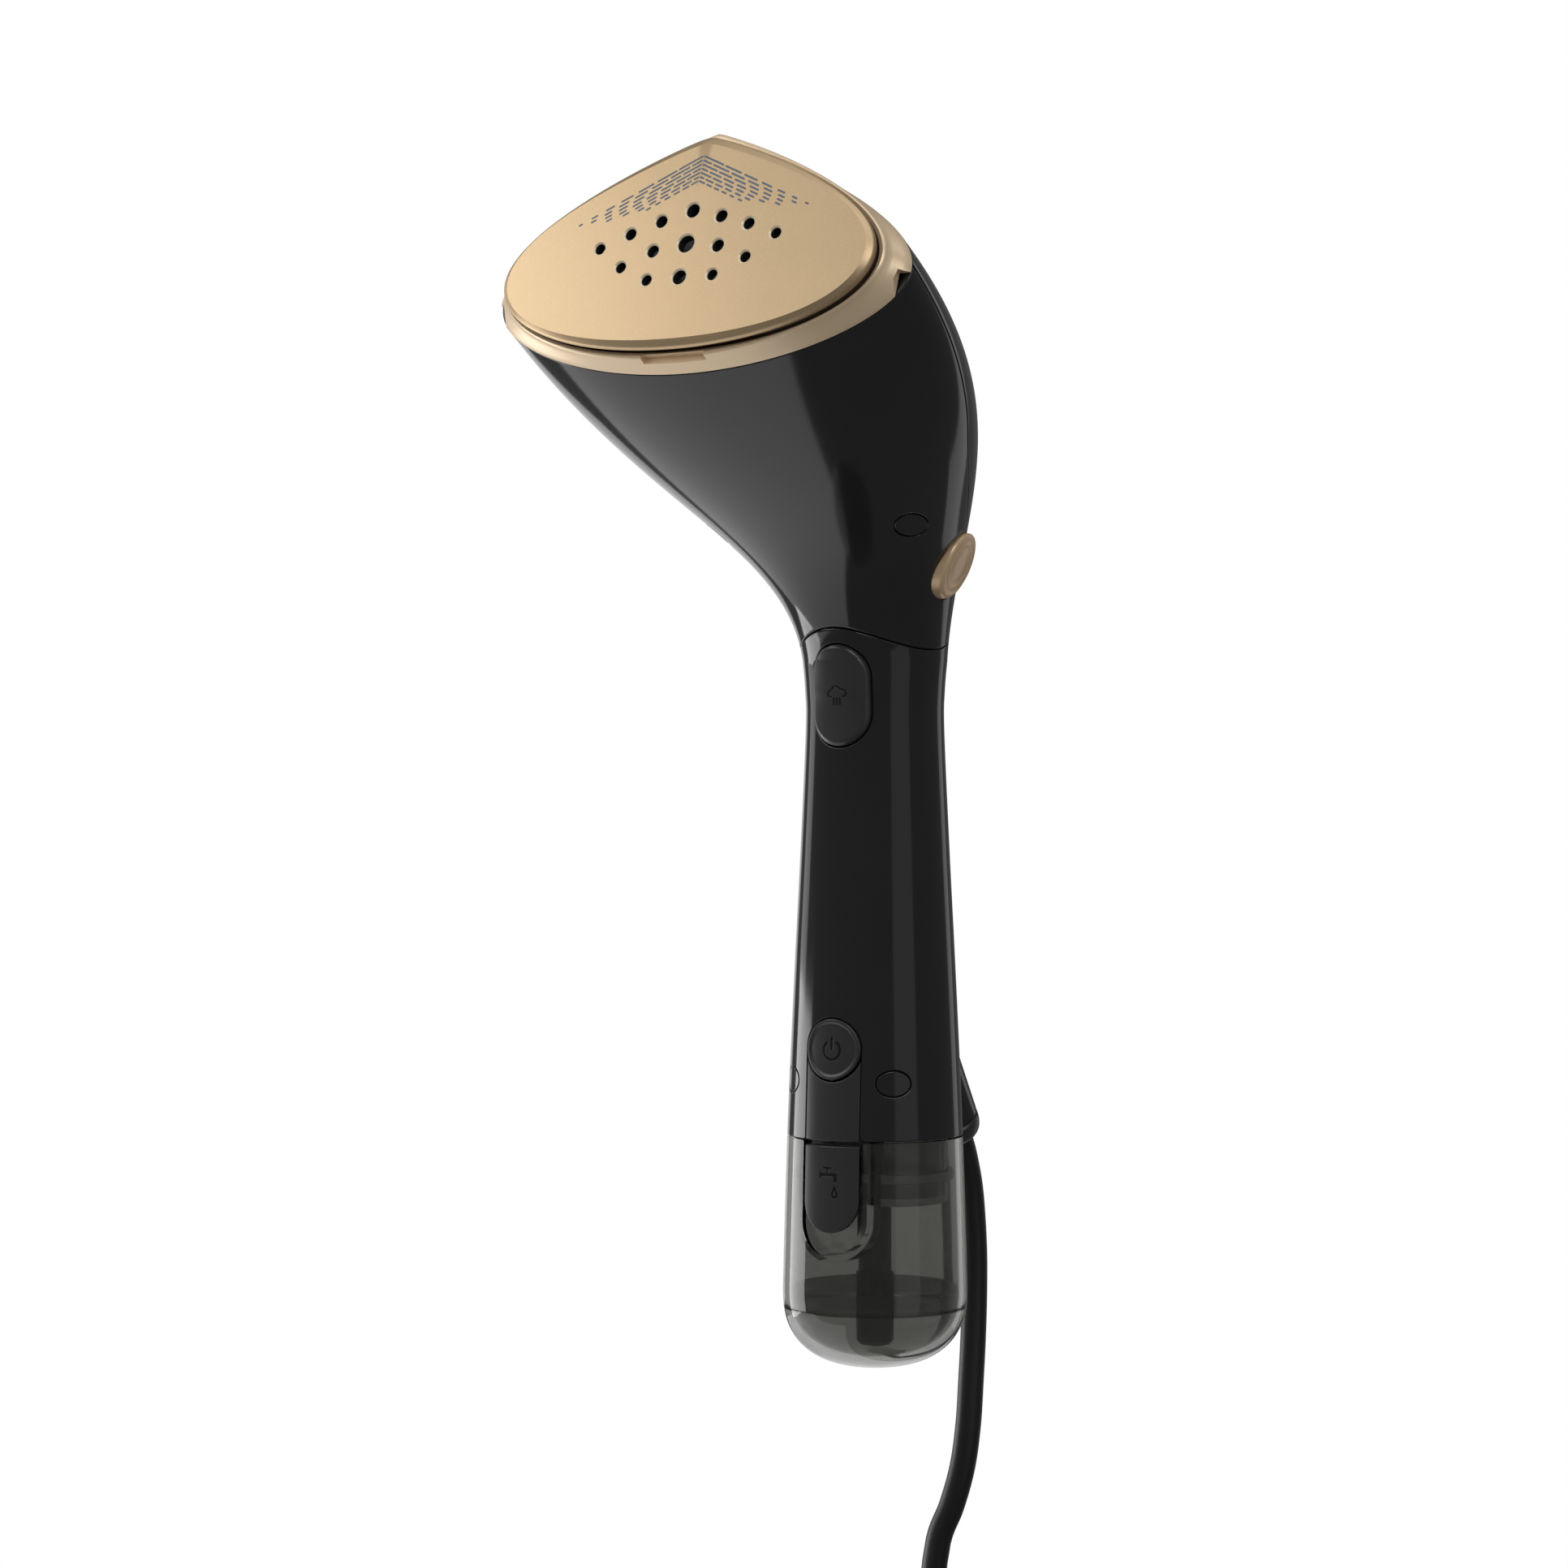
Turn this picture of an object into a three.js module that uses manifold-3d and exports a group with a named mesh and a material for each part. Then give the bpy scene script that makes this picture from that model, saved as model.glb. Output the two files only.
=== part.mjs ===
// Hand-held garment steamer: a tilting head with a steam plate, a slim handle and a pull-off water tank.
// Millimetres, +Z up the handle, front towards -Y. The origin is on the handle's axis at mid grip.
import * as THREE from "three";
import { mergeVertices } from "three/addons/utils/BufferGeometryUtils.js";
import Module from "manifold-3d";

const wasm = await Module();
wasm.setup();

// ---- Driving dimensions ----
const GAP = 0.3; // left between pieces that touch
const WALL = 2.4; // casing thickness
const FAR = 400; // larger than the object, for cutting shapes

// Handle and tank: radius at heights along the axis.
const HANDLE_PROFILE = [
  [-122.4, 27.4],
  [-74.4, 26],
  [-26.4, 23.9],
  [9.6, 22.1],
  [46, 20.5],
  [57.6, 20.7],
  [66, 21.4],
];
const NECK_Z = 66;
const TANK_TOP = -74.1;
const HANDLE_BOTTOM = TANK_TOP + GAP + 0.1;
const TANK_WELD = -124;
const BOWL_TOP = -119;
const TANK_BOTTOM = -142;
const TANK_WALL = 2.2;

// Steam plate: its own frame has x across, y up to the tip and z outwards.
const PLATE_TILT = THREE.MathUtils.degToRad(20);
const PLATE_ORIGIN = new THREE.Vector3(0, -101.4, 177.1);
const PLATE_EDGE = { tip: 34, heel: -30.8, half: 60.3, wide: -6.5 };
const RIM_EDGE = { tip: 36.5, heel: -34.2, half: 67, wide: -8 };
const PLATE_THICK = 3.2;
const BEZEL_FRONT = 4;
const BEZEL_BACK = 10.5;

// Head: front and back lines in the YZ plane, from the bezel down to the neck, and the half widths.
const HEAD_FRONT = [
  [-57.5, 99],
  [-30, 97],
  [-21.4, NECK_Z],
];
const HEAD_BACK = [
  [18, 165],
  [25.5, 108],
  [21.4, NECK_Z],
];
const HEAD_HALF_WIDTHS = [67, 67, 23.5, 21.4];
const ROUNDING = 1.75; // how soon the bezel's outline turns round towards the neck

// Neck hinge: an axis along X. The seam between head and handle is an arc about it.
const HINGE = { y: -4.5, z: 106 };
const SEAM_R = 37;

// Cord.
const CORD_R = 4;
const OUTLET_AXIS = new THREE.Vector3(0, Math.sin(0.63), -Math.cos(0.63));
const OUTLET_END = new THREE.Vector3(0, 46, -72);
const OUTLET_R = 8;
const GLAND_LENGTH = 7;
const GLAND_SWEEP = THREE.MathUtils.degToRad(58); // how far round its dome the gland goes
const HANK = { y: 28, top: -217, straight: 100, bend: 24, step: 8.3, layers: 4 };

// ---- Small helpers ----
const v2 = (x, y) => new THREE.Vector2(x, y);
const v3 = (x, y, z) => new THREE.Vector3(x, y, z);

function toSolid(geometry) {
  const bare = geometry.index ? geometry.toNonIndexed() : geometry.clone();
  bare.deleteAttribute("normal");
  bare.deleteAttribute("uv");
  const merged = mergeVertices(bare, 1e-4);
  return new wasm.Manifold(
    new wasm.Mesh({
      numProp: 3,
      vertProperties: merged.attributes.position.array,
      triVerts: new Uint32Array(merged.index.array),
    }),
  );
}

function toGeometry(solid) {
  const mesh = solid.getMesh();
  const geometry = new THREE.BufferGeometry();
  geometry.setAttribute("position", new THREE.BufferAttribute(mesh.vertProperties, 3));
  geometry.setIndex(new THREE.BufferAttribute(mesh.triVerts, 1));
  return geometry;
}

const fold = (operation) => (first, ...others) =>
  toGeometry(others.reduce((solid, other) => solid[operation](toSolid(other)), toSolid(first)));
const cut = fold("subtract");
const join = fold("add");
const keep = fold("intersect");

// A box from its lowest to its highest corner.
function box(low, high) {
  const size = high.map((value, axis) => value - low[axis]);
  const middle = high.map((value, axis) => (value + low[axis]) / 2);
  return new THREE.BoxGeometry(...size).translate(...middle);
}

// A cylinder of one or two radii between two points.
function rod(from, to, radius, endRadius = radius, sides = 20) {
  const along = to.clone().sub(from);
  const geometry = new THREE.CylinderGeometry(endRadius, radius, along.length(), sides);
  const turn = new THREE.Quaternion().setFromUnitVectors(v3(0, 1, 0), along.clone().normalize());
  const middle = from.clone().add(to).multiplyScalar(0.5);
  return geometry.applyQuaternion(turn).translate(middle.x, middle.y, middle.z);
}

function circleShape(radius, sides) {
  const shape = new THREE.Shape();
  for (let i = 0; i < sides; i++) {
    const angle = (2 * Math.PI * i) / sides;
    const point = [radius * Math.cos(angle), radius * Math.sin(angle)];
    i === 0 ? shape.moveTo(...point) : shape.lineTo(...point);
  }
  return shape;
}

function tube(points, radius, steps, sides = 10) {
  const path = new THREE.CatmullRomCurve3(points, false, "centripetal");
  return new THREE.ExtrudeGeometry(circleShape(radius, sides), { extrudePath: path, steps });
}

// A flat outline in the XZ plane, extruded along Y from front to back.
function alongY(shape, front, back, curveSegments = 8) {
  const depth = back - front;
  const geometry = new THREE.ExtrudeGeometry(shape, { depth, bevelEnabled: false, curveSegments });
  return geometry.rotateX(Math.PI / 2).translate(0, back, 0);
}

// A flat outline in the YZ plane, extruded along X and centred on it.
function alongX(shape, width, curveSegments = 24) {
  const geometry = new THREE.ExtrudeGeometry(shape, { depth: width, bevelEnabled: false, curveSegments });
  geometry.translate(0, 0, -width / 2);
  const axes = new THREE.Matrix4().makeBasis(v3(0, 1, 0), v3(0, 0, 1), v3(1, 0, 0));
  return geometry.applyMatrix4(axes);
}

// An upright slot outline with round ends: middle height, full width and full height.
function slotShape(middle, width, height) {
  const r = width / 2;
  const reach = height / 2 - r;
  const shape = new THREE.Shape();
  shape.moveTo(r, middle - reach);
  shape.lineTo(r, middle + reach);
  shape.absarc(0, middle + reach, r, 0, Math.PI, false);
  shape.lineTo(-r, middle - reach);
  shape.absarc(0, middle - reach, r, Math.PI, 2 * Math.PI, false);
  return shape;
}

// A closed solid through rings of equal point count, with flat ends and its faces turned out.
function loft(rings) {
  const count = rings[0].length;
  const points = rings.flat();
  const faces = [];
  for (let i = 0; i + 1 < rings.length; i++)
    for (let j = 0; j < count; j++) {
      const here = i * count + j;
      const next = i * count + ((j + 1) % count);
      faces.push([here, next, next + count], [here, next + count, here + count]);
    }
  for (const [ring, forward] of [
    [0, false],
    [rings.length - 1, true],
  ]) {
    const centre = rings[ring].reduce((sum, p) => sum.add(p), v3(0, 0, 0)).divideScalar(count);
    points.push(centre);
    for (let j = 0; j < count; j++) {
      const here = ring * count + j;
      const next = ring * count + ((j + 1) % count);
      faces.push(forward ? [here, next, points.length - 1] : [next, here, points.length - 1]);
    }
  }
  const volume = faces.reduce(
    (sum, [a, b, c]) => sum + points[a].dot(points[b].clone().cross(points[c])),
    0,
  );
  const outward = volume > 0 ? faces : faces.map(([a, b, c]) => [a, c, b]);
  const geometry = new THREE.BufferGeometry().setFromPoints(points);
  geometry.setIndex(outward.flat());
  return geometry;
}

// ---- Outlines ----
// The plate's family of outlines, from the tip round the +X side to the heel.
function halfOutline({ tip, heel, half, wide }, steps = 9) {
  const upper = new THREE.CubicBezierCurve(
    v2(0, tip),
    v2(28, tip - 9.5),
    v2(half, wide + 14.5),
    v2(half, wide),
  );
  const lower = new THREE.CubicBezierCurve(v2(half, wide), v2(half, wide - 13.5), v2(35, heel), v2(0, heel));
  return [...upper.getPoints(steps).slice(0, -1), ...lower.getPoints(steps)];
}

function mirrored(half) {
  const others = half.slice(1, -1).reverse();
  return [...half, ...others.map((p) => v2(-p.x, p.y))];
}

function shrunk(edge, inset) {
  return {
    tip: edge.tip - 1.3 * inset,
    heel: edge.heel + inset,
    half: edge.half - inset,
    wide: edge.wide,
  };
}

const plateRing = (edge, z) => mirrored(halfOutline(edge)).map((p) => v3(p.x, p.y, z));
const plateSolid = (edge, low, high) => loft([plateRing(edge, low), plateRing(edge, high)]);

// The bezel's outline with its width and height each scaled to run from -1 to 1.
const RIM_MIDDLE = (RIM_EDGE.tip + RIM_EDGE.heel) / 2;
const RIM_REACH = (RIM_EDGE.tip - RIM_EDGE.heel) / 2;
const RIM_UNIT = mirrored(halfOutline(RIM_EDGE)).map((p) =>
  v2(p.x / RIM_EDGE.half, (p.y - RIM_MIDDLE) / RIM_REACH),
);
const ROUND_UNIT = RIM_UNIT.map((p) => p.clone().normalize());

// A point of the YZ plane at a height in the plate's frame and a depth behind its face.
function behindPlate(height, depth) {
  return v2(
    PLATE_ORIGIN.y + height * Math.sin(PLATE_TILT) + depth * Math.cos(PLATE_TILT),
    PLATE_ORIGIN.z + height * Math.cos(PLATE_TILT) - depth * Math.sin(PLATE_TILT),
  );
}

const bezier = (points) => new THREE.CubicBezierCurve(...points.map((p) => (p.isVector2 ? p : v2(...p))));
const HEAD_START = BEZEL_BACK + GAP;
const FRONT_LINE = bezier([behindPlate(RIM_EDGE.heel, HEAD_START), ...HEAD_FRONT]);
const BACK_LINE = bezier([behindPlate(RIM_EDGE.tip, HEAD_START), ...HEAD_BACK]);
const WIDTH_LINE = bezier(HEAD_HALF_WIDTHS.map((width) => [width, 0]));
const RADIUS_LINE = new THREE.SplineCurve(HANDLE_PROFILE.map(([z, r]) => v2(z, r)));

// The handle's and tank's radius at a height, read off the spline.
function radiusAt(z) {
  let low = 0;
  let high = 1;
  for (let i = 0; i < 24; i++) {
    const middle = (low + high) / 2;
    if (RADIUS_LINE.getPoint(middle).x < z) low = middle;
    else high = middle;
  }
  return RADIUS_LINE.getPoint(low).y;
}

// The head's section at t, 0 at the bezel and 1 at the neck, drawn in by an inset.
function headRing(t, inset) {
  const front = FRONT_LINE.getPoint(t);
  const back = BACK_LINE.getPoint(t);
  const middle = front.clone().add(back).multiplyScalar(0.5);
  const reach = back.clone().sub(front).multiplyScalar(0.5);
  const shrink = 1 - inset / reach.length();
  const width = WIDTH_LINE.getPoint(t).x - inset;
  const blend = (1 - t) ** ROUNDING;
  return RIM_UNIT.map((rim, i) => {
    const p = rim.clone().lerp(ROUND_UNIT[i], 1 - blend);
    return v3(width * p.x, middle.x + reach.x * shrink * p.y, middle.y + reach.y * shrink * p.y);
  });
}

const handleRing = (z, inset) =>
  ROUND_UNIT.map((p) => v3((radiusAt(z) - inset) * p.x, (radiusAt(z) - inset) * p.y, z));

const HANDLE_STEPS = [-50, -20, 15, 45, 57];
const HEAD_STEPS = [1, 0.93, 0.86, 0.78, 0.68, 0.56, 0.43, 0.29, 0.14, 0];

// The casing's shape from the tank seam to the bezel, drawn in by an inset.
function body(inset, low = HANDLE_BOTTOM) {
  const above = HANDLE_STEPS.filter((z) => z > low);
  const handle = [low, ...above].map((z) => handleRing(z, inset));
  return loft([...handle, ...HEAD_STEPS.map((t) => headRing(t, inset))]);
}

// Everything within a radius of the hinge axis, above that axis, or in front of the seam's front end.
const SEAM_FRONT = THREE.MathUtils.degToRad(227);
function hingeSide(radius) {
  const frontEnd = HINGE.z + radius * Math.sin(SEAM_FRONT);
  const shape = new THREE.Shape();
  shape.moveTo(HINGE.y + FAR, HINGE.z);
  shape.lineTo(HINGE.y + FAR, HINGE.z + FAR);
  shape.lineTo(HINGE.y - FAR, HINGE.z + FAR);
  shape.lineTo(HINGE.y - FAR, frontEnd);
  shape.lineTo(HINGE.y + radius * Math.cos(SEAM_FRONT), frontEnd);
  shape.absarc(HINGE.y, HINGE.z, radius, SEAM_FRONT, 2 * Math.PI, false);
  return alongX(shape, FAR);
}

function mesh(name, geometry, finish) {
  const [color, roughness, metalness] = finish;
  const made = new THREE.Mesh(geometry, new THREE.MeshStandardMaterial({ color, roughness, metalness }));
  made.name = name;
  return made;
}

// Finishes: colour, roughness, metalness.
const GLOSS_BLACK = [0x1c1c1e, 0.18, 0];
const SATIN_BLACK = [0x232325, 0.4, 0];
const GOLD = [0xcdb083, 0.32, 0.85];
const DEEP_GOLD = [0x9a7650, 0.35, 0.85];
const GASKET_BROWN = [0x3a2a20, 0.6, 0];
const SMOKE = [0x55554f, 0.08, 0];
const STEEL = [0xb5b7ba, 0.3, 1];
const ALUMINIUM = [0xa9abad, 0.45, 1];
const BOARD_GREEN = [0x1f5a37, 0.5, 0];
const WHITE_PLASTIC = [0xd8d8d4, 0.5, 0];
const SILICONE = [0xd9cfc0, 0.6, 0];
const CORD_BLACK = [0x141414, 0.5, 0];
const PIN_METAL = [0xc9c4b0, 0.25, 1];

// ---- Casing ----
const REAR_SPLIT_Y = 12.5; // the handle's rear cover lies behind this plane
const outer = body(0);
const hollow = body(WALL, HANDLE_BOTTOM - 5);
const casing = cut(outer, hollow, plateOpening());
const headSide = hingeSide(SEAM_R - GAP / 2);
const handleSide = hingeSide(SEAM_R + GAP / 2);

// Opens the casing at the bezel's plane.
function plateOpening() {
  const rim = shrunk(RIM_EDGE, WALL + 0.2);
  const opening = plateSolid(rim, -HEAD_START - 3, -HEAD_START + 3);
  return toPlate(opening);
}

// Moves a shape from the plate's frame into the handle's.
function toPlate(geometry) {
  geometry.rotateX(Math.PI / 2 - PLATE_TILT);
  return geometry.translate(PLATE_ORIGIN.x, PLATE_ORIGIN.y, PLATE_ORIGIN.z);
}

// The rear cover's edge on the head lies at a share of each section, from -1 at the front to 1 at the back.
const REAR_SHARE = { bezel: -0.22, neck: 0.58, bendsFrom: 0.35 };
function rearShare(t) {
  const turn = THREE.MathUtils.smoothstep(t, REAR_SHARE.bendsFrom, 1);
  return THREE.MathUtils.lerp(REAR_SHARE.bezel, REAR_SHARE.neck, turn);
}

function rearRegion(offset) {
  const shape = new THREE.Shape();
  const steps = 10;
  for (let i = 0; i <= steps; i++) {
    const t = i / steps;
    const front = FRONT_LINE.getPoint(t);
    const back = BACK_LINE.getPoint(t);
    const p = front.clone().lerp(back, (1 + rearShare(t)) / 2);
    const away = back.clone().sub(front).normalize().multiplyScalar(offset);
    p.add(away);
    i === 0 ? shape.moveTo(p.x, p.y + FAR) : null;
    shape.lineTo(p.x, p.y);
  }
  shape.lineTo(REAR_SPLIT_Y + offset, -FAR);
  shape.lineTo(FAR, -FAR);
  shape.lineTo(FAR, FAR);
  return alongX(shape, FAR);
}

const rearSide = rearRegion(GAP / 2);
const frontCutter = rearRegion(-GAP / 2);

// ---- Screw plugs: oval caps let into the casing ----
const PLUG_WIDE = 10.5;
const PLUG_DEPTH = 1.3;
// Places: angle round the axis from the front towards +X, and height; then the oval's own height.
const PLUG_ANGLE = THREE.MathUtils.degToRad(43);
const HEAD_PLUG = { angle: PLUG_ANGLE, z: 103, high: 5.8 };
const HANDLE_PLUG = { angle: PLUG_ANGLE, z: -57, high: 7.5 };

function plugPrism({ angle, z, high }, side, grow) {
  const shape = new THREE.Shape();
  shape.absellipse(0, 0, PLUG_WIDE / 2 + grow, high / 2 + grow, 0, 2 * Math.PI, false);
  const geometry = alongY(shape, -60, -8, 7);
  return geometry.rotateZ(side * angle).translate(0, 0, z);
}

function screwPlug(place, side) {
  return keep(cut(outer, body(PLUG_DEPTH)), plugPrism(place, side, -GAP / 2));
}

function plugScrew({ angle, z }, side, radius) {
  const direction = v3(side * Math.sin(angle), -Math.cos(angle), 0);
  const point = (reach) => direction.clone().multiplyScalar(reach).setZ(z);
  const cap = rod(point(radius - PLUG_DEPTH - 2.2), point(radius - PLUG_DEPTH - 0.5), 2.8, 2.8, 14);
  const shank = rod(point(radius - 12), point(radius - PLUG_DEPTH - 2), 1.4, 1.4, 10);
  return join(cap, shank);
}

const plugHoles = (place) => [-1, 1].map((side) => plugPrism(place, side, GAP / 2));

// ---- Handle ----
const TRIGGER = { z: 55.5, width: 19.2, height: 30, proud: 1.4 };
const POWER = { z: -47.2, r: 9, proud: 0.4 };
const INLAY_WIDTH = 18.3;
const INLAY_DEPTH = 1.4;

const triggerHole = alongY(slotShape(TRIGGER.z, TRIGGER.width + 0.4, TRIGGER.height + 0.4), -40, -5, 10);
const powerHole = rod(v3(0, -40, POWER.z), v3(0, -5, POWER.z), POWER.r + 0.2, POWER.r + 0.2, 32);
const stripBlock = (inset) =>
  box([-INLAY_WIDTH / 2 + inset, -40, -FAR], [INLAY_WIDTH / 2 - inset, 0, POWER.z]);

function outletTube(radius, thin) {
  const start = OUTLET_END.clone().addScaledVector(OUTLET_AXIS, -46);
  return rod(start, OUTLET_END, radius + thin, radius, 24);
}

function handleFrontShell() {
  const stripRecess = cut(stripBlock(0), body(INLAY_DEPTH + GAP, HANDLE_BOTTOM - 6));
  return cut(
    casing,
    handleSide,
    frontCutter,
    triggerHole,
    powerHole,
    stripRecess,
    ...plugHoles(HANDLE_PLUG),
  );
}

function handleRearCover() {
  const cover = cut(keep(casing, rearSide), handleSide);
  const outlet = cut(outletTube(OUTLET_R, 1.6), body(WALL / 2, HANDLE_BOTTOM - 6));
  const bore = outletTube(CORD_R + 1.4, 0);
  const belowSeam = box([-FAR, -FAR, -FAR], [FAR, 25.8, HANDLE_BOTTOM]);
  return cut(join(cover, outlet), bore, belowSeam);
}

function frontInlay() {
  const strip = keep(cut(outer, body(INLAY_DEPTH)), stripBlock(GAP / 2));
  const button = rod(v3(0, -40, POWER.z), v3(0, -5, POWER.z), POWER.r + 0.5, POWER.r + 0.5, 32);
  return cut(strip, button);
}

// The casing's shape swollen outwards, which a proud button's face follows.
function buttonFace(proud) {
  return body(-proud, HANDLE_BOTTOM);
}

function trigger() {
  const prism = alongY(slotShape(TRIGGER.z, TRIGGER.width - GAP, TRIGGER.height - GAP), -40, -16.4, 10);
  const flange = box([-5.5, -16.9, TRIGGER.z - 11], [5.5, -16, TRIGGER.z + 11]);
  const stem = box([-2, -16.6, TRIGGER.z - 2], [2, -12.8, TRIGGER.z + 2]);
  return join(keep(prism, buttonFace(TRIGGER.proud)), flange, stem);
}

function powerButton() {
  const disc = rod(v3(0, -40, POWER.z), v3(0, -19.5, POWER.z), POWER.r - GAP / 2, POWER.r - GAP / 2, 32);
  const stem = rod(v3(0, -19.6, POWER.z), v3(0, -16.4, POWER.z), 2, 2, 12);
  return join(keep(disc, buttonFace(POWER.proud)), stem);
}

// A helical spring between two points.
function spring(from, to, radius, turns) {
  const along = to.clone().sub(from);
  const side = Math.abs(along.x) > Math.abs(along.y) ? v3(0, 1, 0) : v3(1, 0, 0);
  const up = along.clone().normalize().cross(side);
  const points = [];
  const steps = turns * 8;
  for (let i = 0; i <= steps; i++) {
    const angle = (2 * Math.PI * i) / 8;
    const point = from.clone().addScaledVector(along, i / steps);
    point.addScaledVector(side, radius * Math.cos(angle)).addScaledVector(up, radius * Math.sin(angle));
    points.push(point);
  }
  return tube(points, 0.4, steps, 4);
}

// Water hose where it crosses the hinge: place, radius, and the heights its flexible link runs between.
const HOSE = { x: 8.5, y: 4.5, r: 2, low: 64.3, high: 125.7 };
const hosePassage = (low, high) => rod(v3(HOSE.x, HOSE.y, low), v3(HOSE.x, HOSE.y, high), HOSE.r + 1.2);

// Inner carrier: a rail behind the works, with a shelf at each end.
const RAIL_Y = 12.6;
function chassis() {
  const rail = box([-7, RAIL_Y, -66], [7, RAIL_Y + 2.4, 58]);
  const topShelf = box([-11, -7, 55.6], [11, RAIL_Y + 1, 58]);
  const lowShelf = box([-12, -10, -66], [12, RAIL_Y + 1, -63.6]);
  const cordPass = outletTube(CORD_R + 3.4, 0);
  const drawPass = rod(v3(0, 0, -70), v3(0, 0, -60), 5);
  return cut(join(rail, topShelf, lowShelf), cordPass, hosePassage(50, 64), drawPass);
}

const EAR = { inner: 11, outer: 13.5, half: 4.2, eye: 6 };
const PIN_R = 2.5;

function hingeBracket() {
  const disc = rod(v3(0, 0, 58.4), v3(0, 0, 62), 18.2, 18.2, 32);
  const wirePass = hosePassage(50, 70).translate(-2 * HOSE.x, 0, 0);
  const ears = [-1, 1].map((side) => {
    const near = Math.min(side * EAR.inner, side * EAR.outer);
    const far = near + EAR.outer - EAR.inner;
    const upright = box([near, HINGE.y - EAR.half, 61], [far, HINGE.y + EAR.half, HINGE.z]);
    const eye = rod(v3(near, HINGE.y, HINGE.z), v3(far, HINGE.y, HINGE.z), EAR.eye, EAR.eye, 24);
    return join(upright, eye);
  });
  const bore = rod(v3(-20, HINGE.y, HINGE.z), v3(20, HINGE.y, HINGE.z), PIN_R + 0.05, PIN_R + 0.05, 24);
  const triggerRoom = box([-FAR, -FAR, 0], [FAR, -12.5, 90]);
  return cut(join(disc, ...ears), bore, hosePassage(50, 70), wirePass, triggerRoom);
}

function hingePin() {
  return rod(v3(-14, HINGE.y, HINGE.z), v3(14, HINGE.y, HINGE.z), PIN_R, PIN_R, 24);
}

function hingeKnuckle() {
  const barrel = rod(v3(-5, HINGE.y, HINGE.z), v3(5, HINGE.y, HINGE.z), 6.5, 6.5, 24);
  const arm = box([-5, HINGE.y - 5, HINGE.z], [5, HINGE.y + 5, HINGE.z + 26]);
  const foot = box([-16, HINGE.y - 6, HINGE.z + 23], [5.5, HINGE.y + 6, HINGE.z + 26]);
  const bore = rod(v3(-9, HINGE.y, HINGE.z), v3(9, HINGE.y, HINGE.z), PIN_R + 0.05, PIN_R + 0.05, 24);
  return cut(join(barrel, arm, foot), bore);
}

// A curved floor that closes the head's lower end, with a slot for the bracket's ears, open at the back.
function neckFloor() {
  const ringShape = circleShape(SEAM_R - 0.35, 72);
  const core = circleShape(SEAM_R - 2.2, 72);
  const ring = cut(alongX(ringShape, 60), alongX(core, 70)).translate(0, HINGE.y, HINGE.z);
  const lowHalf = box([-FAR, -FAR, 0], [FAR, FAR, 90]);
  const window = box([-EAR.outer - 0.6, HINGE.y - EAR.half - 0.4, 60], [EAR.outer + 0.6, FAR, 90]);
  return cut(keep(ring, lowHalf, body(WALL + GAP)), window);
}

function pump() {
  const motor = rod(v3(0, 0, -30), v3(0, 0, -4), 9.5, 9.5, 24);
  const pumpHead = rod(v3(0, 0, -44), v3(0, 0, -29.9), 7.5, 7.5, 24);
  const inlet = rod(v3(0, 0, -52), v3(0, 0, -43), 2.2, 2.2, 14);
  const outlet = rod(v3(6, 3, -36), v3(8.5, 4.5, -36), 2.4, 2.4, 12);
  return join(motor, pumpHead, inlet, outlet);
}

function waterHose() {
  const points = [
    v3(12, 6.2, -36),
    v3(13.2, 5.2, -20),
    v3(12, 4.5, 10),
    v3(9.6, 4.5, 40),
    v3(HOSE.x, HOSE.y, HOSE.low - 8),
    v3(HOSE.x, HOSE.y, HOSE.low - GAP),
  ];
  return tube(points, HOSE.r, 16, 8);
}

// The flexible link that bends with the head.
function hingeHose() {
  return rod(v3(HOSE.x, HOSE.y, HOSE.low), v3(HOSE.x, HOSE.y, HOSE.high), HOSE.r, HOSE.r, 10);
}

function controlBoard() {
  const board = box([-13, 10.4, -8], [13, 12, 46]);
  const parts = [
    box([-10, 6, 30], [-2, 10.5, 42]),
    box([0, 5, 26], [7, 10.5, 40]),
    box([-11, 7.5, 4], [-4, 10.5, 16]),
  ];
  return join(board, ...parts);
}

function tankSeat() {
  const outside = rod(v3(0, 0, -93), v3(0, 0, -71), 21.6, 21.6, 40);
  const inside = rod(v3(0, 0, -91), v3(0, 0, -70), 19.6, 19.6, 40);
  const flatFront = box([-30, -40, -110], [30, -14.8, -60]);
  const core = cut(inside, box([-30, -40, -110], [30, -12.8, -60]));
  const nipple = rod(v3(0, 0, -92), v3(0, 0, -80), 5, 5, 20);
  const passage = rod(v3(0, 0, -95), v3(0, 0, -75), 3.4, 3.4, 20);
  return cut(join(cut(outside, flatFront, core), nipple), passage);
}

function tankSeal() {
  const band = rod(v3(0, 0, -86.2), v3(0, 0, -83.8), 23.4, 23.4, 40);
  const inside = rod(v3(0, 0, -87), v3(0, 0, -83), 21.9, 21.9, 40);
  const outerD = cut(band, box([-30, -40, -110], [30, -16.9, -60]));
  return cut(outerD, cut(inside, box([-30, -40, -110], [30, -15.1, -60])));
}

function suctionPipe() {
  const profile = [
    v2(0, -114),
    v2(4.9, -114),
    v2(4.9, -93.4),
    v2(3.1, -93.4),
    v2(3.1, -52.4),
    v2(0, -52.4),
  ];
  return new THREE.LatheGeometry(profile, 20).rotateX(Math.PI / 2);
}

function suctionFilter() {
  const profile = [v2(0, -137), v2(4.8, -137), v2(5.6, -135.5), v2(5.6, -114.3), v2(0, -114.3)];
  return new THREE.LatheGeometry(profile, 20).rotateX(Math.PI / 2);
}

// ---- Tank ----
function bowlRadius(z) {
  if (z >= BOWL_TOP) return radiusAt(z);
  const share = (BOWL_TOP - z) / (BOWL_TOP - TANK_BOTTOM);
  return radiusAt(BOWL_TOP) * (1 - share ** 2.5) ** 0.4;
}

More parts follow.
